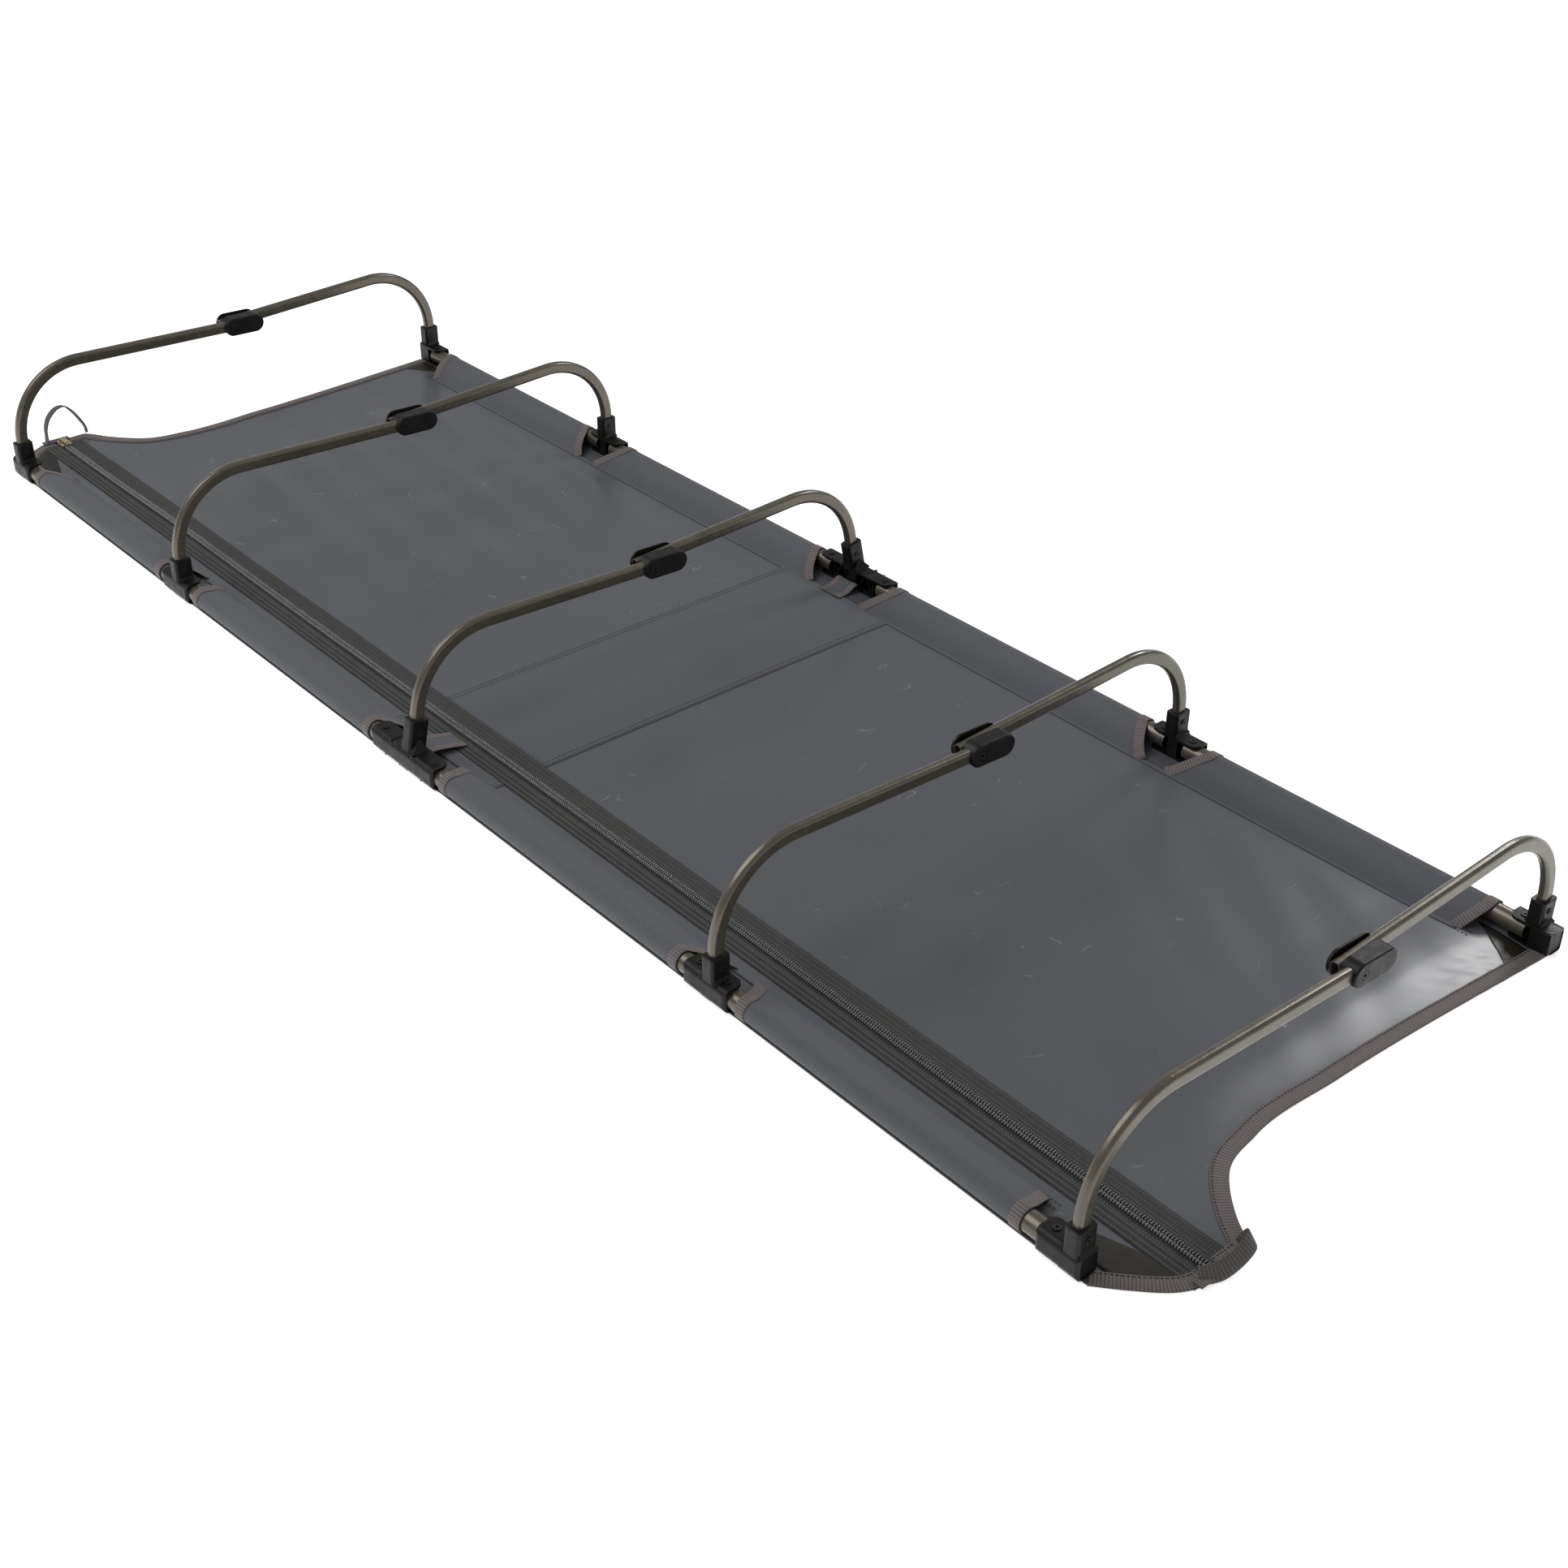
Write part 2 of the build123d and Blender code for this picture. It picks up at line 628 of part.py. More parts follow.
def make_end_binding(side):
    """Bound end hems of one side, one at each end."""
    points = hem_points if side > 0 else near_hem_points
    with BuildPart() as binding:
        for way in (-1, 1):
            with BuildSketch(Plane.XY.offset(CLOTH)):
                with BuildLine():
                    if side > 0:
                        edge = Spline(*points(way, 0))
                        inner = Spline(*points(way, BINDING))
                    else:
                        edge = Polyline(*points(way, 0))
                        inner = Polyline(*points(way, BINDING))
                    Line(edge @ 0, inner @ 0)
                    Line(edge @ 1, inner @ 1)
                make_face()
                with Locations((0, ZIP_Y)):
                    Rectangle(2 * NEAR_TAPE_X + 1, 2 * (TAPE_W + 1 + ZIP_SPLIT), mode=Mode.SUBTRACT)
                with Locations((way * STATIONS[-1], side * RAIL_Y)):
                    Rectangle(2 * CUT_HALF, 2 * PLATE_LIP + 4, mode=Mode.SUBTRACT)
            extrude(amount=TRIM_T)
    return binding


def make_band(side):
    """Woven reinforcement across the middle of the bed, on one side of the zip."""
    low = ZIP_Y + side * (ZIP_SPLIT + TAPE_W + 0.2)
    high = side * (RAIL_Y - SEAM_IN - SEAM_W / 2 - 0.2)
    with BuildPart() as band:
        with BuildSketch(Plane.XY.offset(CLOTH)):
            with Locations((0, (low + high) / 2)):
                Rectangle(2 * BAND_HALF, abs(high - low))
        extrude(amount=TRIM_T)
    return band


def make_corner_patches(side):
    """Proofed triangles under the end fittings of one side."""
    with BuildPart() as patches:
        for way in (-1, 1):
            corner_x = way * (CORNER_X - BINDING - PATCH_BACK)
            edge_y = side * (RAIL_Y - PLATE_LIP - 2.5)
            with BuildSketch(Plane.XY.offset(CLOTH)):
                with BuildLine():
                    Polyline(
                        (corner_x, edge_y),
                        (corner_x - way * 44, edge_y),
                        (corner_x, edge_y - side * 20),
                        close=True,
                    )
                make_face()
            extrude(amount=TRIM_T)
    return patches


def make_keeper(side):
    """Bound tab that ties the sleeve seam to the middle fitting."""
    inner_end = PLATE_LIP + CLEAR
    outer_end = SEAM_IN + SEAM_W / 2
    plane = section(seat(side, 3), -KEEPER_HALF)
    with BuildPart() as keeper:
        with BuildSketch(plane):
            with BuildLine():
                Polyline(
                    (outer_end, CLOTH),
                    (outer_end, CLOTH + SLEEVE_T),
                    (inner_end + 6, RAIL_Z - 4 + SLEEVE_T),
                    (inner_end, RAIL_Z - 4 + SLEEVE_T),
                    (inner_end, RAIL_Z - 4),
                    (inner_end + 6, RAIL_Z - 4),
                    close=True,
                )
            make_face()
        extrude(amount=2 * KEEPER_HALF)
    return keeper


def zip_span(side):
    """Ends of a zip side: the far one stops short of the parked slider."""
    if side < 0:
        return -NEAR_TAPE_X, NEAR_TAPE_X
    clear_of_slider = abs(SLIDER_X) - SLIDER_L / 2 - 2
    return -clear_of_slider, clear_of_slider


def make_zip_strip(side, width, level, height):
    """One straight strip of the zip, from its split line outwards."""
    start, stop = zip_span(side)
    middle = ZIP_Y + side * (ZIP_SPLIT + width / 2)
    with BuildPart() as strip:
        with BuildSketch(Plane.XY.offset(level)):
            with Locations(((start + stop) / 2, middle)):
                Rectangle(stop - start, width)
        extrude(amount=height)
    return strip


def pull_pin_place():
    """Height and place along the bed of the pull tab's pin."""
    top = COIL_Z + COIL_H + CLEAR + SLIDER_WALL
    return SLIDER_X - SLIDER_L / 4, top + PULL_PIN_D / 2 + 1.8


def make_slider():
    """Zip slider: an upper shell over the coils, a lower plate under the tapes, and a thin divider."""
    under = 0.15
    lower_t = TAPE_Z - CLEAR - under
    shell_z = COIL_Z + COIL_H + CLEAR
    inside = ZIP_SPLIT + COIL_W + CLEAR
    pin_x, pin_z = pull_pin_place()
    with BuildPart() as slider:
        with BuildSketch(Plane.XY.offset(under)):
            with Locations((SLIDER_X, ZIP_Y)):
                RectangleRounded(SLIDER_L, SLIDER_W, 4)
        extrude(amount=lower_t)
        with BuildSketch(Plane.XY.offset(COIL_Z + CLEAR)):
            with Locations((SLIDER_X, ZIP_Y)):
                RectangleRounded(SLIDER_L, SLIDER_W, 4)
        extrude(amount=shell_z + SLIDER_WALL - COIL_Z - CLEAR)
        fillet(slider.faces().sort_by(Axis.Z)[-1].edges(), 0.7)
        with BuildSketch(Plane.XY.offset(COIL_Z)):
            with Locations((SLIDER_X, ZIP_Y)):
                Rectangle(SLIDER_L + 2, 2 * inside)
        extrude(amount=shell_z - COIL_Z, mode=Mode.SUBTRACT)
        with BuildSketch(Plane.XY.offset(under)):
            with Locations((SLIDER_X + SLIDER_L / 4, ZIP_Y)):
                Rectangle(SLIDER_L / 3, 2 * (ZIP_SPLIT - CLEAR))
        extrude(amount=shell_z + SLIDER_WALL / 2 - under)
        for way in (-1, 1):
            ear_y = ZIP_Y + way * (PULL_W / 2 + CLEAR + 0.7)
            ear = Plane(origin=(pin_x, ear_y, pin_z), x_dir=(1, 0, 0), z_dir=(0, -1, 0))
            with BuildSketch(ear):
                Circle(1.9)
                with Locations((0, -1.9)):
                    Rectangle(3.8, 3.8)
            extrude(amount=0.7, both=True)
        with BuildSketch(Plane(origin=(pin_x, ZIP_Y, pin_z), x_dir=(1, 0, 0), z_dir=(0, -1, 0))):
            Circle(PULL_PIN_D / 2)
        extrude(amount=PULL_W / 2 + CLEAR + 1, both=True)
    return slider


def make_pull():
    """Pull tab of the slider, lying back along the zip."""
    pin_x, pin_z = pull_pin_place()
    with BuildPart() as pull:
        with BuildSketch(Plane.XY.offset(pin_z - PULL_T / 2)):
            with Locations((pin_x + PULL_L / 2, ZIP_Y)):
                RectangleRounded(PULL_L, PULL_W, 2.4)
            with Locations((pin_x + PULL_L - 5, ZIP_Y)):
                SlotOverall(5, 2.2, mode=Mode.SUBTRACT)
        extrude(amount=PULL_T)
        eye = Plane(origin=(pin_x, ZIP_Y, pin_z), x_dir=(1, 0, 0), z_dir=(0, -1, 0))
        with BuildSketch(eye):
            Circle(PULL_PIN_D / 2 + 0.9)
        extrude(amount=PULL_W / 2, both=True)
        with BuildSketch(eye):
            Circle(PULL_PIN_D / 2 + 0.2)
        extrude(amount=PULL_W, both=True, mode=Mode.SUBTRACT)
    return pull


def make_loop(way, height):
    """Webbing loop that arches over one end of the zip."""
    plane = Plane(
        origin=(way * (TIP_X + LOOP_W / 2 - LOOP_IN), LOOP_Y, CLOTH + TRIM_T + CLEAR),
        x_dir=(0, 1, 0),
        z_dir=(1, 0, 0),
    )
    with BuildPart() as loop:
        with BuildSketch(plane):
            Ellipse(LOOP_HALF, height)
            Ellipse(LOOP_HALF - LOOP_T, height - LOOP_T, mode=Mode.SUBTRACT)
            with Locations((0, -height / 2)):
                Rectangle(4 * LOOP_HALF, height, mode=Mode.SUBTRACT)
        extrude(amount=LOOP_W / 2, both=True)
    return loop


os.makedirs("parts", exist_ok=True)

for side_name, side in SIDES.items():
    for station in range(1, 6):
        save(make_fitting(side, station), f"{side_name}_fitting_{station}")
        save(make_leg(side, station), f"{side_name}_leg_{station}")
    for first in range(1, 5):
        save(make_rail_tube(side, first), f"{side_name}_rail_tube_{first}")
    save(make_pivot_pins(side), f"{side_name}_rail_pivot_pins")
    save(make_leg_screws(side), f"{side_name}_leg_screws")
    save(make_sleeve(side), f"{side_name}_sleeve")
    save(make_end_binding(side), f"{side_name}_end_bindings")
    save(make_band(side), f"{side_name}_middle_band")
    save(make_corner_patches(side), f"{side_name}_corner_patches")
    save(make_keeper(side), f"{side_name}_keeper_tab")
    save(make_zip_strip(side, TAPE_W, TAPE_Z, TAPE_T), f"{side_name}_zip_tape")
    save(make_zip_strip(side, COIL_W, COIL_Z, COIL_H), f"{side_name}_zip_coil")

for station in range(1, 6):
    save(make_lap_block(station), f"lap_block_{station}")
save(make_lap_screws(), "lap_screws")
save(make_main_panel(), "main_panel")
save(make_near_panel(), "near_panel")
save(make_slider(), "zip_slider")
save(make_pull(), "zip_pull")
save(make_loop(-1, HEAD_LOOP_H), "head_webbing_loop")
save(make_loop(1, FOOT_LOOP_H), "foot_webbing_loop")
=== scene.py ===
import json
import math

import bmesh
import bpy
import numpy as np
from bpy.props import FloatProperty, FloatVectorProperty, PointerProperty
from mathutils import Matrix, Vector


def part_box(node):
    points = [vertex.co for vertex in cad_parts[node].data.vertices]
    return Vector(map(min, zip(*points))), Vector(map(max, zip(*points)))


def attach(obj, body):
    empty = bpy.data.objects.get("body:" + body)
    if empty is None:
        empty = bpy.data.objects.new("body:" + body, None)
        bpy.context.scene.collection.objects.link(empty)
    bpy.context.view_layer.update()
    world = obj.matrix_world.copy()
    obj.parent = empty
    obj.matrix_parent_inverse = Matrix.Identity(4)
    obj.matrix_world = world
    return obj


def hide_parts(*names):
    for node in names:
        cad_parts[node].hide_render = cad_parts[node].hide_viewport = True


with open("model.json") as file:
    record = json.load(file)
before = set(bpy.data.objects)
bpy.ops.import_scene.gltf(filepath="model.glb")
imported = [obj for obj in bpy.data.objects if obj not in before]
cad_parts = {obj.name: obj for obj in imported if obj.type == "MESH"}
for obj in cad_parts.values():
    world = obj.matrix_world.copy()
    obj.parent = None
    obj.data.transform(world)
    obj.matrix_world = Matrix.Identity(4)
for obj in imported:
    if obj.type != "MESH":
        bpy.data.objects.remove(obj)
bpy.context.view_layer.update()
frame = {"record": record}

bl_info = {
    "name": "Folding stretcher",
    "version": (1, 0, 0),
    "blender": (4, 5, 0),
    "location": "3D View > Sidebar > Stretcher",
    "description": "Cloth, zip, bindings and finishes of a low folding camp bed, and its stage",
    "category": "Add Mesh",
}

MM = 0.001
HALF_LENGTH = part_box("main_panel")[1][0]
ZIP_Y = (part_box("near_zip_coil")[1][1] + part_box("far_zip_coil")[0][1]) / 2
RAIL_Y = (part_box("far_rail_tube_1")[0][1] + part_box("far_rail_tube_1")[1][1]) / 2
RAIL_BOTTOM, RAIL_TOP = (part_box("far_rail_tube_1")[k][2] for k in (0, 1))
RAIL_Z = (RAIL_BOTTOM + RAIL_TOP) / 2
RAIL_R = (RAIL_TOP - RAIL_BOTTOM) / 2
CLOTH_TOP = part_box("main_panel")[1][2]
HOOPS = [sum(corner[0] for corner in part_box(f"lap_block_{i}")) / 2 for i in range(1, 6)]
SEAM_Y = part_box("far_sleeve")[0][1] + 5 * MM
SLEEVE_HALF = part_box("far_sleeve")[1][0]
BAND_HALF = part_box("far_middle_band")[1][0]
SIDES = {"near": -1, "far": 1}
TURN = 2 * math.pi
BED_EDGE = RAIL_Y + 7 * MM      # the bed cloth's long edges, under the rails
ON_CLOTH = 0.75 * MM            # height of sewn-on pieces over the bed cloth
OFF_FLOOR = 0.2 * MM
FLOOR_HALF = 90
CAMERA_PLACE = (1.6854, -1.2488, 1.1989)
CAMERA_TURN = -0.862            # about +Z from +Y, then the tip below level and the roll
CAMERA_TIP = -0.573
CAMERA_ROLL = 0.004
# Routes of the webbing loops, in millimetres: out along the bed and across it from the loop's
# middle, and up from the floor
HEAD_LOOP = [
    (-4, -29, 2.4), (1, -27, 9), (3, -25, 22), (3, -19, 35), (2, -8, 45),
    (2, 4, 46), (2, 14, 36), (1, 22, 23), (-1, 27, 12), (-5, 27, 4),
]
FOOT_LOOP = [
    (-8, -28, 2.6), (-3, -20, 4.5), (1, -10, 8), (3, 2, 12), (3, 13, 16),
    (1, 21, 18), (-3, 26, 15), (-6, 25, 9), (-7, 20, 5),
]


def colour(name, text, value):
    """A colour that a user may change."""
    return FloatVectorProperty(
        name=name, description=text, default=value, size=3, subtype="COLOR", min=0, max=1
    )


def length(name, text, value):
    """A length that a user may change."""
    return FloatProperty(name=name, description=text, default=value, unit="LENGTH", min=0)


def amount(name, text, value):
    """A plain amount that a user may change."""
    return FloatProperty(name=name, description=text, default=value, min=0)


class ClothSettings(bpy.types.PropertyGroup):
    """Colours and sizes of the sewn cloth."""

    coated: colour("Coated side", "Smooth proofed face of the bed cloth", (0.086, 0.089, 0.099))
    woven: colour("Woven side", "Matt woven face of the sleeves", (0.110, 0.113, 0.126))
    band: colour("Middle band", "Woven reinforcement across the bed", (0.102, 0.105, 0.117))
    trim: colour("Binding", "Ribbed binding on every cut edge", (0.125, 0.108, 0.103))
    patch: colour("Corner patch", "Shiny proofed patch", (0.014, 0.011, 0.007))
    thread: colour("Thread", "Sewing thread", (0.012, 0.012, 0.013))
    thickness: length("Cloth thickness", "Thickness of the bed cloth", 0.8 * MM)
    ripple: length("Ripple", "Height of the ripples in the stretched cloth", 1.5 * MM)
    binding_width: length("Binding width", "Width of the binding on each face", 15 * MM)


class FrameSettings(bpy.types.PropertyGroup):
    """Colours of the tubes and mouldings."""

    coat: colour("Tube coating", "Satin taupe coating of the hoops", (0.108, 0.095, 0.073))
    moulding: colour("Moulding", "Plastic of fittings and blocks", (0.0060, 0.0056, 0.0054))
    screw: colour("Screws", "Blackened steel", (0.020, 0.019, 0.018))


class ZipSettings(bpy.types.PropertyGroup):
    """Colours and sizes of the zip."""

    tape: colour("Zip tape", "Woven tape", (0.030, 0.032, 0.030))
    coil: colour("Zip coil", "Moulded coil", (0.050, 0.052, 0.052))
    thread: colour("Tape thread", "Rows of stitches on the tapes", (0.085, 0.088, 0.078))
    metal: colour("Slider", "Plated slider and pull", (0.72, 0.62, 0.44))
    pitch: length("Coil pitch", "Distance from tooth to tooth", 3.0 * MM)


class StageSettings(bpy.types.PropertyGroup):
    """Camera and lighting."""

    floor: colour("Floor", "Plain pale floor", (0.92, 0.92, 0.92))
    lens: FloatProperty(
        name="Lens", description="Focal length", default=49.53, min=10, unit="CAMERA"
    )
    key_power: amount("Key light", "Power of the soft key", 66)
    sheen_power: amount("Back light", "Power of the back light", 20)
    sky: amount("Sky", "Strength of the even light", 0.42)


# ---------------------------------------------------------------- materials

class Finish:
    """A material being built from nodes."""

    def __init__(self, name, base, roughness, metallic=0.0, coords="Object"):
        self.mat = bpy.data.materials.new(f"{name}_finish")
        self.mat.use_nodes = True
        self.nodes = self.mat.node_tree.nodes
        self.links = self.mat.node_tree.links
        self.shader = self.nodes["Principled BSDF"]
        self.shader.inputs["Base Color"].default_value = (*base, 1)
        self.shader.inputs["Roughness"].default_value = roughness
        self.shader.inputs["Metallic"].default_value = metallic
        self.base = base
        self.coords = self.nodes.new("ShaderNodeTexCoord").outputs[coords]
        self.bump_in = None

    def noise(self, scale, detail=3.0, stretch=(1, 1, 1)):
        """Soft noise, its scale in cycles a metre."""
        place = self.nodes.new("ShaderNodeMapping")
        place.inputs["Scale"].default_value = stretch
        self.links.new(self.coords, place.inputs["Vector"])
        node = self.nodes.new("ShaderNodeTexNoise")
        node.inputs["Scale"].default_value = scale
        node.inputs["Detail"].default_value = detail
        self.links.new(place.outputs["Vector"], node.inputs["Vector"])
        return node.outputs["Fac"]

    def ribs(self, pitch, direction="X", profile="SIN"):
        """Even ribs, a rib every pitch metres."""
        node = self.nodes.new("ShaderNodeTexWave")
        node.wave_type = "BANDS"
        node.bands_direction = direction
        node.wave_profile = profile
        node.inputs["Scale"].default_value = math.pi / (10 * pitch)
        self.links.new(self.coords, node.inputs["Vector"])
        return node.outputs["Fac"]

    def combine(self, operation, a, b):
        """Arithmetic on two values or sockets."""
        node = self.nodes.new("ShaderNodeMath")
        node.operation = operation
        for socket, value in zip(node.inputs, (a, b)):
            if isinstance(value, (int, float)):
                socket.default_value = value
            else:
                self.links.new(value, socket)
        return node.outputs[0]

    def blend(self, a, share_a, b, share_b):
        """Sum of two values, each taken in its share."""
        parts = [self.combine("MULTIPLY", *pair) for pair in ((a, share_a), (b, share_b))]
        return self.combine("ADD", *parts)

    def spread(self, value, low, high, start=0.35, stop=0.65):
        """Map a value onto a range."""
        node = self.nodes.new("ShaderNodeMapRange")
        node.inputs["From Min"].default_value = start
        node.inputs["From Max"].default_value = stop
        node.inputs["To Min"].default_value = low
        node.inputs["To Max"].default_value = high
        self.links.new(value, node.inputs["Value"])
        return node.outputs["Result"]

    def tint(self, value, dark, light):
        """Vary the base colour between two brightnesses."""
        ramp = self.nodes.new("ShaderNodeValToRGB")
        ramp.color_ramp.elements[0].position = 0.3
        ramp.color_ramp.elements[1].position = 0.7
        ramp.color_ramp.elements[0].color = (*[c * dark for c in self.base], 1)
        ramp.color_ramp.elements[1].color = (*[min(1, c * light) for c in self.base], 1)
        self.links.new(value, ramp.inputs["Fac"])
        self.links.new(ramp.outputs["Color"], self.shader.inputs["Base Color"])
        return ramp.outputs["Color"]

    def scuffs(self):
        """Sparse pale hairlines, as thin level lines of a noise."""
        centred = self.combine("SUBTRACT", self.noise(11, 3, (1, 0.5, 1)), 0.5)
        level = self.combine("ABSOLUTE", centred, 0)
        line = self.spread(level, 1, 0, 0.0006, 0.0030)
        patchy = self.spread(self.noise(34, 2), 0, 1, 0.60, 0.66)
        mix = self.nodes.new("ShaderNodeMix")
        mix.data_type = "RGBA"
        old = self.shader.inputs["Base Color"].links[0].from_socket
        share = self.combine("MULTIPLY", self.combine("MULTIPLY", line, patchy), 0.5)
        self.links.new(share, mix.inputs[0])
        self.links.new(old, mix.inputs[6])
        mix.inputs[7].default_value = (*[min(1, 3.2 * c) for c in self.base], 1)
        self.links.new(mix.outputs[2], self.shader.inputs["Base Color"])

    def roughness(self, value, low, high):
        """Vary the roughness."""
        self.links.new(self.spread(value, low, high), self.shader.inputs["Roughness"])

    def bump(self, height, strength, distance):
        """Add a bump layer."""
        node = self.nodes.new("ShaderNodeBump")
        node.inputs["Strength"].default_value = strength
        node.inputs["Distance"].default_value = distance
        self.links.new(height, node.inputs["Height"])
        if self.bump_in is not None:
            self.links.new(self.bump_in, node.inputs["Normal"])
        self.bump_in = node.outputs["Normal"]
        self.links.new(self.bump_in, self.shader.inputs["Normal"])

    def set(self, **values):
        """Set plain shader inputs by name."""
        for key, value in values.items():
            self.shader.inputs[key.replace("_", " ")].default_value = value
        return self


def coated_cloth(name, base):
    """Smooth proofed cloth, faintly cloudy, with fine creases."""
    f = Finish(name, base, 0.4)
    cloud = f.noise(6, 3)
    f.tint(cloud, 0.96, 1.05)
    f.scuffs()
    f.roughness(f.spread(f.noise(7, 2), 0.35, 0.65, 0.1, 0.9), 0.25, 0.33)
    f.bump(f.noise(1400, 2), 0.05, 0.2 * MM)
    crease = f.noise(14, 1.5, stretch=(0.5, 1.0, 1.0))
    f.bump(crease, 0.30, 1.4 * MM)
    return f.set(Specular_IOR_Level=0.36).mat


def woven_cloth(name, base, pitch=0.9 * MM):
    """Matt plain weave."""
    f = Finish(name, base, 0.82, coords="UV")
    threads = f.combine("MULTIPLY", f.ribs(pitch, "X"), f.ribs(pitch, "Y"))
    f.tint(f.blend(threads, 0.30, f.noise(700, 3), 0.6), 0.80, 1.22)
    f.bump(threads, 0.5, 0.25 * MM)
    return f.set(Sheen_Weight=0.06, Sheen_Roughness=0.5, Specular_IOR_Level=0.25).mat


def ribbed_binding(name, base):
    """Grosgrain: fine ribs across the tape."""
    f = Finish(name, base, 0.62, coords="UV")
    rib = f.ribs(3.0 * MM, "X")
    f.tint(f.blend(rib, 0.6, f.noise(160, 4), 0.4), 0.72, 1.28)
    f.bump(rib, 0.5, 0.45 * MM)
    return f.set(Sheen_Weight=0.08, Sheen_Roughness=0.45, Specular_IOR_Level=0.3).mat


def zip_tape_finish(name, base):
    """Twill tape with lengthwise ridges."""
    f = Finish(name, base, 0.72, coords="UV")
    ridge = f.ribs(6.1 * MM, "Y", "SAW")
    twill = f.ribs(1.1 * MM, "DIAGONAL")
    f.tint(f.blend(ridge, 0.45, f.noise(90, 5), 0.6), 0.66, 1.35)
    f.bump(f.combine("ADD", ridge, f.combine("MULTIPLY", twill, 0.3)), 0.5, 0.35 * MM)
    return f.set(Sheen_Weight=0.05, Specular_IOR_Level=0.25).mat


def patch_finish(name, base):
    """Shiny proofed patch with soft creases."""
    f = Finish(name, base, 0.25)
    f.tint(f.noise(40, 4), 0.75, 1.4)
    f.roughness(f.noise(70, 4), 0.34, 0.48)
    f.bump(f.noise(28, 1.5), 0.15, 1.0 * MM)
    return f.set(Specular_IOR_Level=0.28).mat


def moulded_plastic(name, base):
    """Spark-textured black moulding."""
    f = Finish(name, base, 0.5)
    f.tint(f.noise(25, 5), 0.8, 1.6)
    f.roughness(f.noise(90, 4), 0.34, 0.50)
    f.bump(f.noise(2600, 2), 0.25, 0.10 * MM)
    f.bump(f.noise(150, 3), 0.05, 0.4 * MM)
    return f.set(Specular_IOR_Level=0.22).mat


def tube_coat(name, base):
    """Satin metallic powder coat with orange peel."""
    f = Finish(name, base, 0.34, metallic=0.55)
    f.tint(f.noise(30, 5), 0.9, 1.12)
    f.roughness(f.noise(120, 5), 0.24, 0.34)
    f.bump(f.noise(1900, 2), 0.02, 0.05 * MM)
    f.bump(f.noise(260, 3), 0.02, 0.2 * MM)
    return f.set(Coat_Weight=0.25, Coat_Roughness=0.22).mat


def plated_metal(name, base, low, high, metallic=1.0):
    """Plated or blackened metal, lightly worn."""
    f = Finish(name, base, 0.3, metallic=metallic)
    f.tint(f.noise(300, 4), 0.7, 1.15)
    f.roughness(f.noise(500, 3), low, high)
    f.bump(f.noise(1500, 2), 0.1, 0.05 * MM)
    return f.mat


def moulded_coil(name, base):
    """Glossy moulded coil."""
    f = Finish(name, base, 0.22)
    f.tint(f.noise(200, 3), 0.8, 1.25)
    f.roughness(f.noise(300, 3), 0.16, 0.26)
    return f.set(Coat_Weight=1.0, Coat_Roughness=0.10, Specular_IOR_Level=0.9).mat


def thread_finish(name, base):
    """Twisted sewing thread."""
    f = Finish(name, base, 0.7)
    f.tint(f.noise(900, 3), 0.7, 1.3)
    f.bump(f.noise(3000, 2), 0.4, 0.1 * MM)
    return f.mat


def finish_of(name):
    """The finished material of that name."""
    return bpy.data.materials[f"{name}_finish"]


# ---------------------------------------------------------------- geometry

def hem_x(side, y):
    """Half length of the bed's cloth at a distance y across it."""
    zip_line = ZIP_Y / MM
    tip = 1010
    if side > 0:
        across = [zip_line, -224, -195, -177, -143, -90, 20, 318]
        along = [tip, tip, 1007, 980, 944, 928, 928, 946]
    else:
        across = [-318, -300, -269, -252, zip_line]
        along = [953, 974, 1003, tip, tip]
    xs = np.asarray(across, float)
    ys = np.asarray(along, float)
    slopes = np.gradient(ys, xs)
    slopes[0 if side > 0 else -1] = 0
    v = np.clip(np.asarray(y, float) / MM, xs[0], xs[-1])
    k = np.clip(np.searchsorted(xs, v) - 1, 0, len(xs) - 2)
    h = xs[k + 1] - xs[k]
    t = (v - xs[k]) / h
    value = (
        (2 * t**3 - 3 * t**2 + 1) * ys[k]
        + (t**3 - 2 * t**2 + t) * h * slopes[k]
        + (3 * t**2 - 2 * t**3) * ys[k + 1]
        + (t**3 - t**2) * h * slopes[k + 1]
    )
    return np.minimum(value, tip) * MM


def smooth(value, start, stop):
    """Smooth step from 0 at start to 1 at stop."""
    t = np.clip((value - start) / (stop - start), 0, 1)
    return t * t * (3 - 2 * t)


def ripples(x, y):
    """Tension ripples of the bed cloth, in shares of the ripple height."""
    ends = 1 - smooth(np.abs(x), 0.87, 0.95)
    edges = smooth(y, -0.300, -0.275) * (1 - smooth(y, 0.235, 0.265))
    head = np.exp(-(((x + 0.62) / 0.30) ** 2))
    foot = np.exp(-(((x - 0.70) / 0.22) ** 2)) * smooth(y, -0.05, 0.12)
    fan = 0.5 + 0.5 * np.sin(TURN * (y + 0.16 * x) / 0.070 + 1.3 * np.sin(5.0 * x))
    crease = 0.5 + 0.5 * np.sin(TURN * (x * 0.6 + y) / 0.085)
    broad = 0.5 + 0.5 * np.sin(TURN * x / 0.41 + 3.0 * y)
    return (1.5 * head * fan + 0.7 * foot * crease + 0.35 * broad) * ends * edges


def foot_roll(x, y):
    """Height of the low roll along the foot hem, with the crumples of its far corner."""
    inside = hem_x(1, y) - x
    roll = (1 - smooth(inside, 0.065, 0.150)) * smooth(inside, 0.014, 0.060)
    corner = (1 - smooth(inside, 0.025, 0.060)) * smooth(y, 0.14, 0.24)
    crumple = np.sin(TURN * (x - 0.5 * y) / 0.023) * np.sin(TURN * (y + 0.3 * x) / 0.047)
    return 2.6 * MM * roll * smooth(y, -0.16, -0.06) + 0.3 * MM * crumple * corner


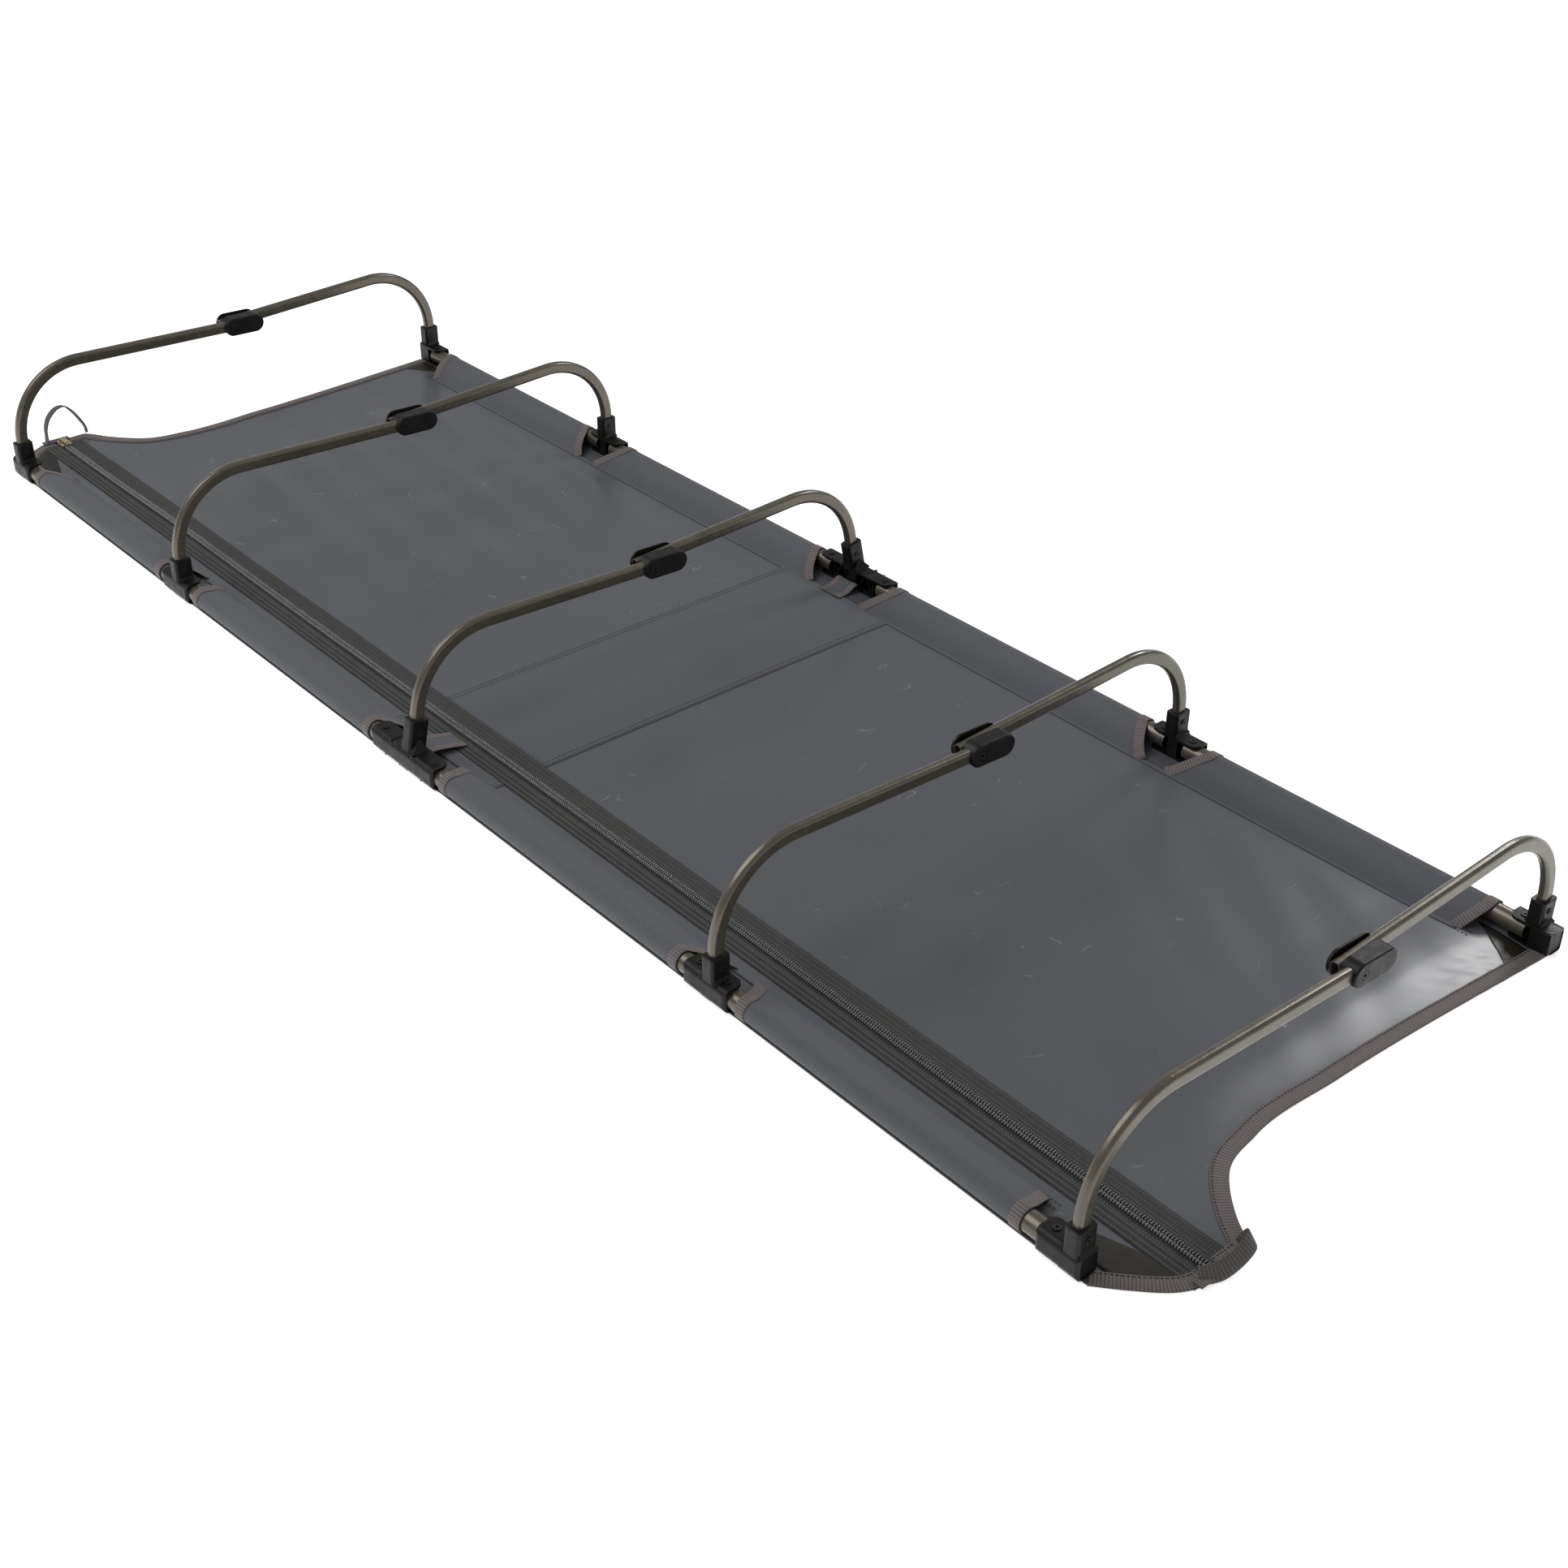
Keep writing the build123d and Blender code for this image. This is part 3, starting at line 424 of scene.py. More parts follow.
def cloth_top(x, y):
    """Height of the bed cloth's top face."""
    x = np.asarray(x, float)
    y = np.asarray(y, float)
    high = bpy.context.scene.stretcher_cloth.ripple
    return CLOTH_TOP - 0.1 * MM + high * ripples(x, y) + foot_roll(x, y)


def mesh_object(name, points, faces, uvs=None):
    """An object from points and faces, with a UV for each point where given."""
    mesh = bpy.data.meshes.new(name)
    mesh.from_pydata([tuple(map(float, p)) for p in points], [], faces)
    if uvs is not None:
        layer = mesh.uv_layers.new(name="UVMap")
        corners = np.empty(len(mesh.loops), int)
        mesh.loops.foreach_get("vertex_index", corners)
        layer.data.foreach_set("uv", np.asarray(uvs, float)[corners].ravel())
    mesh.polygons.foreach_set("use_smooth", [True] * len(mesh.polygons))
    mesh.update()
    obj = bpy.data.objects.new(name, mesh)
    bpy.context.scene.collection.objects.link(obj)
    return obj


def grid_faces(rows, cols, start=0, flip=False):
    """Quads of a grid of points."""
    faces = []
    for i in range(rows - 1):
        for j in range(cols - 1):
            a = start + i * cols + j
            quad = (a, a + 1, a + cols + 1, a + cols)
            faces.append(quad[::-1] if flip else quad)
    return faces


def rim_of(rows, cols):
    """Points round the edge of a grid, in order."""
    first = list(range(cols))
    right = [i * cols + cols - 1 for i in range(1, rows)]
    last = [(rows - 1) * cols + j for j in range(cols - 2, -1, -1)]
    left = [i * cols for i in range(rows - 2, 0, -1)]
    return first + right + last + left


def slab(name, top, bottom, uvs):
    """A thin closed sheet between two grids of points."""
    rows, cols = top.shape[:2]
    count = rows * cols
    points = np.concatenate([top.reshape(-1, 3), bottom.reshape(-1, 3)])
    side = np.cross(top[0, 1] - top[0, 0], top[1, 0] - top[0, 0])
    flip = np.dot(side, top[0, 0] - bottom[0, 0]) < 0
    faces = grid_faces(rows, cols, 0, flip) + grid_faces(rows, cols, count, not flip)
    rim = rim_of(rows, cols)
    for k, a in enumerate(rim):
        b = rim[(k + 1) % len(rim)]
        quad = (b, a, a + count, b + count)
        faces.append(quad[::-1] if flip else quad)
    return mesh_object(name, points, faces, np.concatenate([uvs.reshape(-1, 2)] * 2))


def cloth_slab(name, x_of, ys, steps, lift, thickness):
    """A sheet lying on the bed cloth: rows at ys, each from x_of(y)[0] to x_of(y)[1]."""
    ys = np.asarray(ys, float)
    t = np.linspace(0, 1, steps)
    ends = np.array([x_of(y) for y in ys])
    x = ends[:, :1] + (ends[:, 1:] - ends[:, :1]) * t
    y = np.repeat(ys[:, None], steps, axis=1)
    top = np.stack([x, y, cloth_top(x, y) + lift], axis=-1)
    bottom = top - np.array([0, 0, thickness])
    bottom[..., 2] = np.maximum(bottom[..., 2], 0.05 * MM)
    return slab(name, top, bottom, np.stack([x, y], axis=-1))


def distance_along(path):
    """Distance from the start of a path to each of its points."""
    return np.concatenate([[0], np.cumsum(np.linalg.norm(np.diff(path, axis=0), axis=1))])


def strap(name, path, across, width, thickness):
    """A flat strap along a path of points, its width along the across vectors."""
    path = np.asarray(path, float)
    across = np.broadcast_to(np.asarray(across, float), path.shape)
    along = np.gradient(path, axis=0)
    along /= np.linalg.norm(along, axis=1)[:, None]
    side = across - along * np.sum(across * along, axis=1)[:, None]
    side /= np.linalg.norm(side, axis=1)[:, None]
    normal = np.cross(along, side)
    travel = distance_along(path)
    widths = np.broadcast_to(np.asarray(width, float), travel.shape)
    fractions = np.array([-0.5, -0.46, -0.2, 0.2, 0.46, 0.5])
    crown = np.array([0.35, 0.9, 1.0, 1.0, 0.9, 0.35]) * thickness / 2
    offset = side[:, None, :] * (fractions[None, :] * widths[:, None])[..., None]
    lift = normal[:, None, :] * crown[None, :, None]
    top = path[:, None, :] + offset + lift
    bottom = path[:, None, :] + offset - lift
    uvs = np.stack(
        [np.repeat(travel[:, None], 6, 1), fractions[None, :] * widths[:, None]], -1
    )
    return slab(name, top, bottom, uvs)


def lift_off_floor(obj):
    """Flatten a piece against the floor where it would go under."""
    for vertex in obj.data.vertices:
        vertex.co.z = max(vertex.co.z, OFF_FLOOR)


def stitches(name, path, pitch=4.2 * MM):
    """A row of lockstitches along a path, standing a little proud of the cloth."""
    path = np.asarray(path, float)
    travel = distance_along(path)
    middles = np.arange(pitch / 2, travel[-1], pitch)
    half_long = 3.1 * MM * pitch / (4.2 * MM) / 2
    half_wide = 1.1 * MM / 2
    high = 0.35 * MM
    normal = np.array([0.0, 0.0, 1.0])
    box_faces = (
        (4, 5, 6, 7), (0, 1, 2, 3), (0, 4, 7, 3), (1, 2, 6, 5), (0, 1, 5, 4), (3, 7, 6, 2),
    )
    points, faces = [], []
    for s in middles:
        here, ahead, back = (
            np.array([np.interp(v, travel, path[:, k]) for k in range(3)])
            for v in (s, s + 0.5 * MM, s - 0.5 * MM)
        )
        along = ahead - back
        along /= max(np.linalg.norm(along), 1e-9)
        side = np.cross(normal, along)
        start = len(points)
        for long, wide, lift in ((1, 0.8, 0), (0.55, 0.7, high)):
            for a, b in ((-long, -wide), (-long, wide), (long, wide), (long, -wide)):
                points.append(here + along * a * half_long + side * b * half_wide + normal * lift)
        faces += [tuple(start + k for k in quad) for quad in box_faces]
    return mesh_object(name, points, faces)


def dress(obj, material, body, replaces=()):
    """Give a piece its material, the body it rides on and the nodes that it stands for."""
    obj.data.materials.clear()
    obj.data.materials.append(finish_of(material))
    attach(obj, body)
    if replaces:
        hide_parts(*replaces)
    return obj


def sleeve_point(side, s, puff=0.0):
    """Point across a sleeve: s is 0 at its seam, 1 where it meets the rail and 2 underneath."""
    radius = RAIL_R + 0.9 * MM + puff
    reach = RAIL_Y - SEAM_Y + 4 * MM
    rise = CLOTH_TOP - RAIL_Z
    far = math.hypot(reach, rise)
    touch = math.atan2(rise, reach) + math.acos(radius / far)
    if s < 1:
        a = np.array([reach, rise + 0.8 * MM])
        b = radius * np.array([math.cos(touch), math.sin(touch)])
        sag = 2.2 * MM * math.sin(math.pi * s)
        inwards = np.array([b[1] - a[1], a[0] - b[0]]) / np.linalg.norm(b - a)
        p = a + (b - a) * s + sag * inwards
    else:
        angle = touch + (1.5 * math.pi - touch) * (s - 1)
        p = radius * np.array([math.cos(angle), math.sin(angle)])
    return np.array([side * (RAIL_Y - p[0]), RAIL_Z + p[1]])


def from_seam(s):
    """Share of the way from the seam to the top of the rail."""
    return min(1.0, s / 1.1)


def cut_out(i, s):
    """Half length of the sleeve's cut-out at a fitting: wide round the rail, narrow at the seam."""
    wide, narrow = (68, 38) if i == 2 else (42, 10)
    return (narrow + (wide - narrow) * from_seam(s) ** 0.72) * MM


def end_reach(s):
    """Half length of a sleeve: its end slants from the seam out to the rail."""
    return SLEEVE_HALF - 14 * MM * (1 - from_seam(s)) ** 1.4


def sleeve_stops():
    """Places across a sleeve at which its rows lie."""
    return np.concatenate([np.linspace(0, 1, 15)[:-1], np.linspace(1, 2, 19)])


def sleeve_spans():
    """Each stretch of a sleeve between two fittings, as two functions of s."""
    for i in range(4):
        def left(s, i=i):
            return -end_reach(s) if i == 0 else HOOPS[i] + cut_out(i, s)

        def right(s, i=i):
            return end_reach(s) if i == 3 else HOOPS[i + 1] - cut_out(i + 1, s)

        yield i, left, right


# ---------------------------------------------------------------- operators

class BuildOperator(bpy.types.Operator):
    """Base of the stretcher's operators."""

    bl_options = {"REGISTER", "UNDO"}


class STRETCHER_OT_finishes(BuildOperator):
    """Make the materials and give them to the frame, the mouldings and the screws"""

    bl_idname = "stretcher.finishes"
    bl_label = "Finishes"

    def execute(self, context):
        scene = context.scene
        cloth, metal, zipper = scene.stretcher_cloth, scene.stretcher_frame, scene.stretcher_zip
        coated_cloth("coated_cloth", tuple(cloth.coated))
        woven_cloth("sleeve_cloth", tuple(cloth.woven))
        woven_cloth("band_cloth", tuple(cloth.band), 1.3 * MM)
        ribbed_binding("grosgrain", tuple(cloth.trim))
        patch_finish("patch_cloth", tuple(cloth.patch))
        ribbed_binding("webbing", tuple(0.7 * c for c in cloth.trim))
        thread_finish("thread", tuple(cloth.thread))
        thread_finish("tape_thread", tuple(zipper.thread))
        zip_tape_finish("zip_tape", tuple(zipper.tape))
        moulded_coil("zip_coil", tuple(zipper.coil))
        plated_metal("zip_metal", tuple(zipper.metal), 0.18, 0.34)
        tube_coat("tube_coat", tuple(metal.coat))
        moulded_plastic("moulded_plastic", tuple(metal.moulding))
        plated_metal("screw_steel", tuple(metal.screw), 0.42, 0.58, 0.55)
        kinds = {
            "moulded_plastic": "moulded_plastic",
            "screw_steel": "screw_steel",
            "leg_coating": "tube_coat",
            "rail_tube": "tube_coat",
            "zip_metal": "zip_metal",
        }
        slots = {p["node"]: p["material_slot"] for p in frame["record"]["subparts"]}
        for node, slot_name in slots.items():
            if slot_name in kinds:
                shade_node(node, kinds[slot_name])
        return {"FINISHED"}


def shade_node(node, material):
    """Give a CAD node its finish."""
    obj = bpy.data.objects[node]
    for holder in obj.material_slots:
        holder.material = finish_of(material)


class STRETCHER_OT_panels(BuildOperator):
    """The two coated panels of the bed, either side of the zip"""

    bl_idname = "stretcher.panels"
    bl_label = "Coated panels"

    def execute(self, context):
        thick = context.scene.stretcher_cloth.thickness
        for name, side_name, node in (
            ("main_cloth", "far", "main_panel"),
            ("near_cloth", "near", "near_panel"),
        ):
            side = SIDES[side_name]
            if side > 0:
                ys = np.linspace(ZIP_Y + 10 * MM, BED_EDGE, 180)
            else:
                ys = np.linspace(-BED_EDGE, ZIP_Y - 10 * MM, 44)

            def span(y, side=side):
                end = float(hem_x(side, y)) - 1 * MM
                return -end, end

            obj = cloth_slab(name, span, ys, 520, 0, thick)
            dress(obj, "coated_cloth", f"{side_name}_side", (node,))
            ends = hem_x(side, ys)
        return {"FINISHED"}


class STRETCHER_OT_sleeves(BuildOperator):
    """Sleeves round the rails, with bound cut-outs at the fittings and a double seam"""

    bl_idname = "stretcher.sleeves"
    bl_label = "Sleeves"

    def execute(self, context):
        thick = 0.8 * MM
        for side_name, side in SIDES.items():
            body = f"{side_name}_side"
            for i, left, right in sleeve_spans():
                rows, under, uvs = [], [], []
                for s in sleeve_stops():
                    outer = sleeve_point(side, s)
                    inner = sleeve_point(side, s, -thick)
                    a, b = left(s), right(s)
                    xs = np.linspace(a, b, 150)
                    pucker = 0.35 * MM * np.sin(xs * 95 + 2.1 * s) * math.sin(math.pi * min(s, 1))
                    rows.append([(x, outer[0], outer[1] + p) for x, p in zip(xs, pucker)])
                    under.append([(x, inner[0], inner[1] + p) for x, p in zip(xs, pucker)])
                    uvs.append([(x, 0.03 * s) for x in xs])
                name = f"{side_name}_sleeve_cloth_{i + 1}"
                grid = np.array(rows)
                obj = slab(name, grid, np.array(under), np.array(uvs))
                nodes = (f"{side_name}_sleeve",) if i == 0 else ()
                dress(obj, "sleeve_cloth", body, nodes)
        return {"FINISHED"}


class STRETCHER_OT_bindings(BuildOperator):
    """Ribbed binding on the end hems, the sleeve ends and the cut-outs"""

    bl_idname = "stretcher.bindings"
    bl_label = "Bindings"

    def execute(self, context):
        width = context.scene.stretcher_cloth.binding_width
        for side_name, side in SIDES.items():
            body = f"{side_name}_side"
            if side > 0:
                ys = np.linspace(ZIP_Y + 9 * MM, BED_EDGE, 160)
            else:
                ys = np.linspace(ZIP_Y - 9 * MM, -BED_EDGE, 90)
            for way, end in ((-1, "head"), (1, "foot")):
                edge = np.stack([way * hem_x(side, ys), ys], axis=-1)
                along = np.gradient(edge, axis=0)
                along /= np.linalg.norm(along, axis=1)[:, None]
                inward = np.stack([-along[:, 1], along[:, 0]], axis=-1)
                inward *= np.sign(inward[:, 0] * -way)[:, None]
                obj = hem_binding(f"{side_name}_{end}_binding", edge, inward, width)
                nodes = (f"{side_name}_end_bindings",) if way < 0 else ()
                dress(obj, "grosgrain", body, nodes)
                row = edge + inward * (width - 2.0 * MM)
                top = cloth_top(row[:, 0], row[:, 1]) + 0.85 * MM
                line = stitches(f"{side_name}_{end}_hem_stitches", np.column_stack([row, top]))
                dress(line, "thread", body)
            self.bind_cut_outs(side_name, side, body)
        return {"FINISHED"}

    def bind_cut_outs(self, side_name, side, body):
        """Binding round each sleeve's cut edges, as one strap over the rail."""
        width = 12 * MM
        for i, left, right in sleeve_spans():
            for end, where, inward in (("a", left, 1), ("b", right, -1)):
                path = []
                for s in sleeve_stops():
                    p = sleeve_point(side, s, 0.55 * MM)
                    path.append((where(s) + inward * (width / 2 - 0.7 * MM), p[0], p[1]))
                name = f"{side_name}_sleeve_binding_{i + 1}{end}"
                obj = strap(name, path, (1, 0, 0), width, 1.0 * MM)
                lift_off_floor(obj)
                dress(obj, "grosgrain", body)


def hem_binding(name, edge, inward, width):
    """Binding folded over a cut edge: a closed section carried along the hem."""
    section = [
        (width, 0.15), (width, 0.85), (width / 2, 0.95), (0.5 * MM, 0.95),
        (-0.9 * MM, 0.5), (-1.0 * MM, -0.2), (-0.4 * MM, -0.75), (width / 2, -0.85),
    ]
    rows = len(edge)
    count = len(section)
    points, uvs = [], []
    travel = distance_along(edge)
    for k in range(rows):
        for n, (inset, lift) in enumerate(section):
            xy = edge[k] + inward[k] * inset
            z = float(cloth_top(xy[0], xy[1])) + lift * MM
            points.append((xy[0], xy[1], max(z, 0.1 * MM)))
            uvs.append((travel[k], n * 3 * MM))
    faces = []
    for k in range(rows - 1):
        for n in range(count):
            m = (n + 1) % count
            here, ahead = k * count, (k + 1) * count
            faces.append((here + n, here + m, ahead + m, ahead + n))
    faces.append(tuple(range(count))[::-1])
    faces.append(tuple((rows - 1) * count + n for n in range(count)))
    obj = mesh_object(name, points, faces, uvs)
    outward(obj)
    return obj


def outward(obj):
    """Turn a closed piece's faces outwards."""
    mesh = bmesh.new()
    mesh.from_mesh(obj.data)
    bmesh.ops.recalc_face_normals(mesh, faces=mesh.faces)
    mesh.to_mesh(obj.data)
    mesh.free()


class STRETCHER_OT_seams(BuildOperator):
    """Double rows of stitches along the sleeves, and the middle band"""

    bl_idname = "stretcher.seams"
    bl_label = "Seams and middle band"

    def execute(self, context):
        for side_name, side in SIDES.items():
            body = f"{side_name}_side"
            xs = np.linspace(-SLEEVE_HALF + 15 * MM, SLEEVE_HALF - 15 * MM, 240)
            tops = cloth_top(xs, np.full_like(xs, side * SEAM_Y)) + 0.5 * MM
            ridge = np.column_stack([xs, np.full_like(xs, side * (SEAM_Y - 2.4 * MM)), tops])
            fold = strap(f"{side_name}_seam_fold", ridge, (0, 1, 0), 6.5 * MM, 1.3 * MM)
            dress(fold, "sleeve_cloth", body)
            for row, inset in (("outer", 0.0), ("inner", -6.5 * MM)):
                xs = np.linspace(-SLEEVE_HALF + 3 * MM, SLEEVE_HALF - 3 * MM, 240)
                ys = np.full_like(xs, side * (SEAM_Y + inset + 1 * MM))
                lift = 0.15 * MM if row == "inner" else 0.9 * MM
                path = np.column_stack([xs, ys, cloth_top(xs, ys) + lift])
                line = stitches(f"{side_name}_{row}_seam", path)
                dress(line, "thread", body)
            tape_edge = 26.2 * MM
            if side > 0:
                ys = np.linspace(ZIP_Y + tape_edge, SEAM_Y - 4 * MM, 130)
            else:
                ys = np.linspace(-SEAM_Y + 4 * MM, ZIP_Y - tape_edge, 8)
            band = cloth_slab(
                f"{side_name}_band", lambda y: (-BAND_HALF, BAND_HALF), ys, 60, ON_CLOTH, 0.6 * MM
            )
            dress(band, "band_cloth", body, (f"{side_name}_middle_band",))
            for way in (-1, 1):
                tag = "head" if way < 0 else "foot"
                for number, inset in ((1, 2.5 * MM), (2, 8 * MM)):
                    xs = np.full(len(ys), way * (BAND_HALF - inset))
                    path = np.column_stack([xs, ys, cloth_top(xs, ys) + ON_CLOTH])
                    line = stitches(f"{side_name}_band_stitches_{tag}_{number}", path)
                    dress(line, "thread", body)
        return {"FINISHED"}


class STRETCHER_OT_corners(BuildOperator):
    """Corner patches and the bound tabs at the middle fittings"""

    bl_idname = "stretcher.corners"
    bl_label = "Corner patches and tabs"

    def execute(self, context):
        for side_name, side in SIDES.items():
            body = f"{side_name}_side"
            for way, end in ((-1, "head"), (1, "foot")):
                obj = corner_patch(f"{side_name}_{end}_patch", side, way)
                nodes = (f"{side_name}_corner_patches",) if way < 0 else ()
                dress(obj, "patch_cloth", body, nodes)
            inner = RAIL_Y - 11.5 * MM
            outer = (248 if side < 0 else 270) * MM
            middle = (-10 if side < 0 else -4) * MM
            path = []
            for t in np.linspace(0, 1, 14):
                y = outer + (inner - outer) * t
                bow = 5.0 * MM * math.sin(math.pi * t) ** 1.5 if side < 0 else 0
                z = CLOTH_TOP + 2.0 * MM + bow + 7.0 * MM * smooth(t, 0.35, 0.97)
                path.append((middle, side * y, float(z)))
            tab = strap(f"{side_name}_tab", path, (1, 0, 0), 20 * MM, 1.0 * MM)
            dress(tab, "band_cloth", body, (f"{side_name}_keeper_tab",))
            for way in (-1, 1):
                edge = [(p[0] + way * 12.5 * MM, p[1], p[2] + 0.3 * MM) for p in path]
                name = f"{side_name}_tab_edge_{'a' if way < 0 else 'b'}"
                strip = strap(name, edge, (1, 0, 0), 9 * MM, 1.3 * MM)
                dress(strip, "grosgrain", body)
        return {"FINISHED"}


def corner_patch(name, side, way):
    """A curved proofed triangle between the hem, the rail and the zip tape."""
    rows, under, uvs = [], [], []
    start = (900 if side < 0 else 910) * MM
    reach = (50 if side < 0 else 40) * MM
    for v in np.linspace(0, 1, 14):
        y = side * (RAIL_Y - 13 * MM - reach * v)
        edge = float(hem_x(side, y)) - 8 * MM
        back = start - 34 * MM * (1 - v) ** 1.6 + (edge - start) * v**1.5
        line = []
        for u in np.linspace(0, 1, 16):
            x = way * (edge + (back - edge) * u)
            z = float(cloth_top(x, y)) + 0.6 * MM + 0.5 * MM * math.sin(math.pi * u) * (1 - v)
            line.append((x, y, z))
        rows.append(line)
        under.append([(x, y, z - 0.3 * MM) for x, y, z in line])
        uvs.append([(x, y) for x, y, z in line])
    return slab(name, np.array(rows), np.array(under), np.array(uvs))


class STRETCHER_OT_zip(BuildOperator):
    """Zip tapes and the two toothed coils"""

    bl_idname = "stretcher.zip"
    bl_label = "Zip"

    def execute(self, context):
        pitch = context.scene.stretcher_zip.pitch
        for side_name, side in SIDES.items():
            body = f"{side_name}_side"
            low, high = (np.array(corner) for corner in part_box(f"{side_name}_zip_tape"))
            low[0], high[0] = (way * (HALF_LENGTH - 3 * MM) for way in (-1, 1))
            ys = low[1] + (high[1] - low[1]) * np.linspace(0, 1, 9)
            tape = cloth_slab(
                f"{side_name}_tape", lambda y: (low[0], high[0]), ys, 420, ON_CLOTH, 0.6 * MM
            )
            dress(tape, "zip_tape", body, (f"{side_name}_zip_tape",))
            for row, inset in enumerate((8.5, 11.5, 17.0, 22.8)):
                xs = np.linspace(low[0] + 2 * MM, high[0] - 2 * MM, 260)
                ys = np.full_like(xs, ZIP_Y + side * inset * MM)
                path = np.column_stack([xs, ys, cloth_top(xs, ys) + ON_CLOTH])
                line = stitches(f"{side_name}_tape_stitches_{row + 1}", path, 3.4 * MM)
                dress(line, "tape_thread", body)
            coil = self.coil(side_name, side, pitch)
            dress(coil, "zip_coil", body, (f"{side_name}_zip_coil",))
        return {"FINISHED"}

    def coil(self, side_name, side, pitch):
        """A row of rounded teeth, set half a pitch off the other side's."""
        low, high = (np.array(corner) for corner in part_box(f"{side_name}_zip_coil"))
        low[0], high[0] = (way * (HALF_LENGTH - 5 * MM) for way in (-1, 1))
        points, faces, uvs = [], [], []
        shift = 0.0 if side > 0 else pitch / 2
        ring = [(-0.30, 0.0), (-0.30, 0.6), (-0.13, 1.0), (0.13, 1.0), (0.30, 0.6), (0.30, 0.0)]
        height = high[2] - low[2] + 0.3 * MM
        stations = (
            (0.15 * MM, 0.35), (0.6 * MM, 0.85), (2.6 * MM, 1.0), (4.2 * MM, 0.9), (4.9 * MM, 0.3),
        )
        for x in np.arange(low[0] + pitch + shift, high[0] - pitch, pitch):
            start = len(points)
            floor = float(cloth_top(x, ZIP_Y)) + ON_CLOTH
            for out, tall in stations:
                for u, v in ring:
                    z = floor + v * tall * height
                    points.append((x + u * pitch * 1.15, ZIP_Y + side * out, z))
                    uvs.append((x, out))
            for k in range(len(stations) - 1):
                for n in range(6):
                    m = (n + 1) % 6
                    a = start + k * 6
                    faces.append((a + n, a + m, a + 6 + m, a + 6 + n))
            faces.append(tuple(start + n for n in range(6)))
            faces.append(tuple(start + 6 * (len(stations) - 1) + n for n in range(5, -1, -1)))
        obj = mesh_object(f"{side_name}_coil", points, faces, uvs)
        outward(obj)
        return obj


class STRETCHER_OT_loops(BuildOperator):
    """Webbing loops over the ends of the zip"""

    bl_idname = "stretcher.loops"
    bl_label = "Webbing loops"

    def execute(self, context):
        for end, way in (("head", -1), ("foot", 1)):
            low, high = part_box(f"{end}_webbing_loop")
            middle = (low + high) / 2
            route = HEAD_LOOP if way < 0 else FOOT_LOOP
            corners = np.array(route) * MM * (way, 1, 1) + (middle[0], middle[1], 0)
            path = self.rounded(corners)
            t = np.linspace(0, 1, len(path))
            if way < 0:
                turn = 0.5 * np.sin(TURN * t)
                width = 8.5 * MM
            else:
                turn = 0.55 + 0.35 * np.sin(math.pi * t)
                width = 15 * MM
            across = np.column_stack([way * np.cos(turn), 0 * t, -way * np.sin(turn)])
            path[:, 2] = np.maximum(path[:, 2], 1.5 * MM + 0.5 * width * np.abs(across[:, 2]))
            loop = strap(f"{end}_loop", path, across, width, 1.7 * MM)
            lift_off_floor(loop)
            dress(loop, "webbing", "near_side", (f"{end}_webbing_loop",))
            inner, outer = HALF_LENGTH - 8.5 * MM, HALF_LENGTH + 1 * MM
            x = way * (inner + outer) / 2
            ys = np.linspace(ZIP_Y - 22 * MM, ZIP_Y + 14 * MM, 16)
            line = [(x, y, CLOTH_TOP + 2.3 * MM) for y in ys]
            stop = strap(f"{end}_tip_binding", line, (1, 0, 0), outer - inner, 1.4 * MM)
            dress(stop, "grosgrain", "near_side")
        return {"FINISHED"}

    def rounded(self, points):
        """A smooth path through the points."""
        points = np.asarray(points, float)
        padded = np.vstack([2 * points[0] - points[1], points, 2 * points[-1] - points[-2]])
        path = []
        for k in range(1, len(padded) - 2):
            p0, p1, p2, p3 = padded[k - 1:k + 3]
            for t in np.linspace(0, 1, 9)[:-1]:
                path.append(0.5 * (
                    2 * p1
                    + (p2 - p0) * t
                    + (2 * p0 - 5 * p1 + 4 * p2 - p3) * t**2
                    + (3 * p1 - p0 - 3 * p2 + p3) * t**3
                ))
        path.append(points[-1])
        return np.array(path)


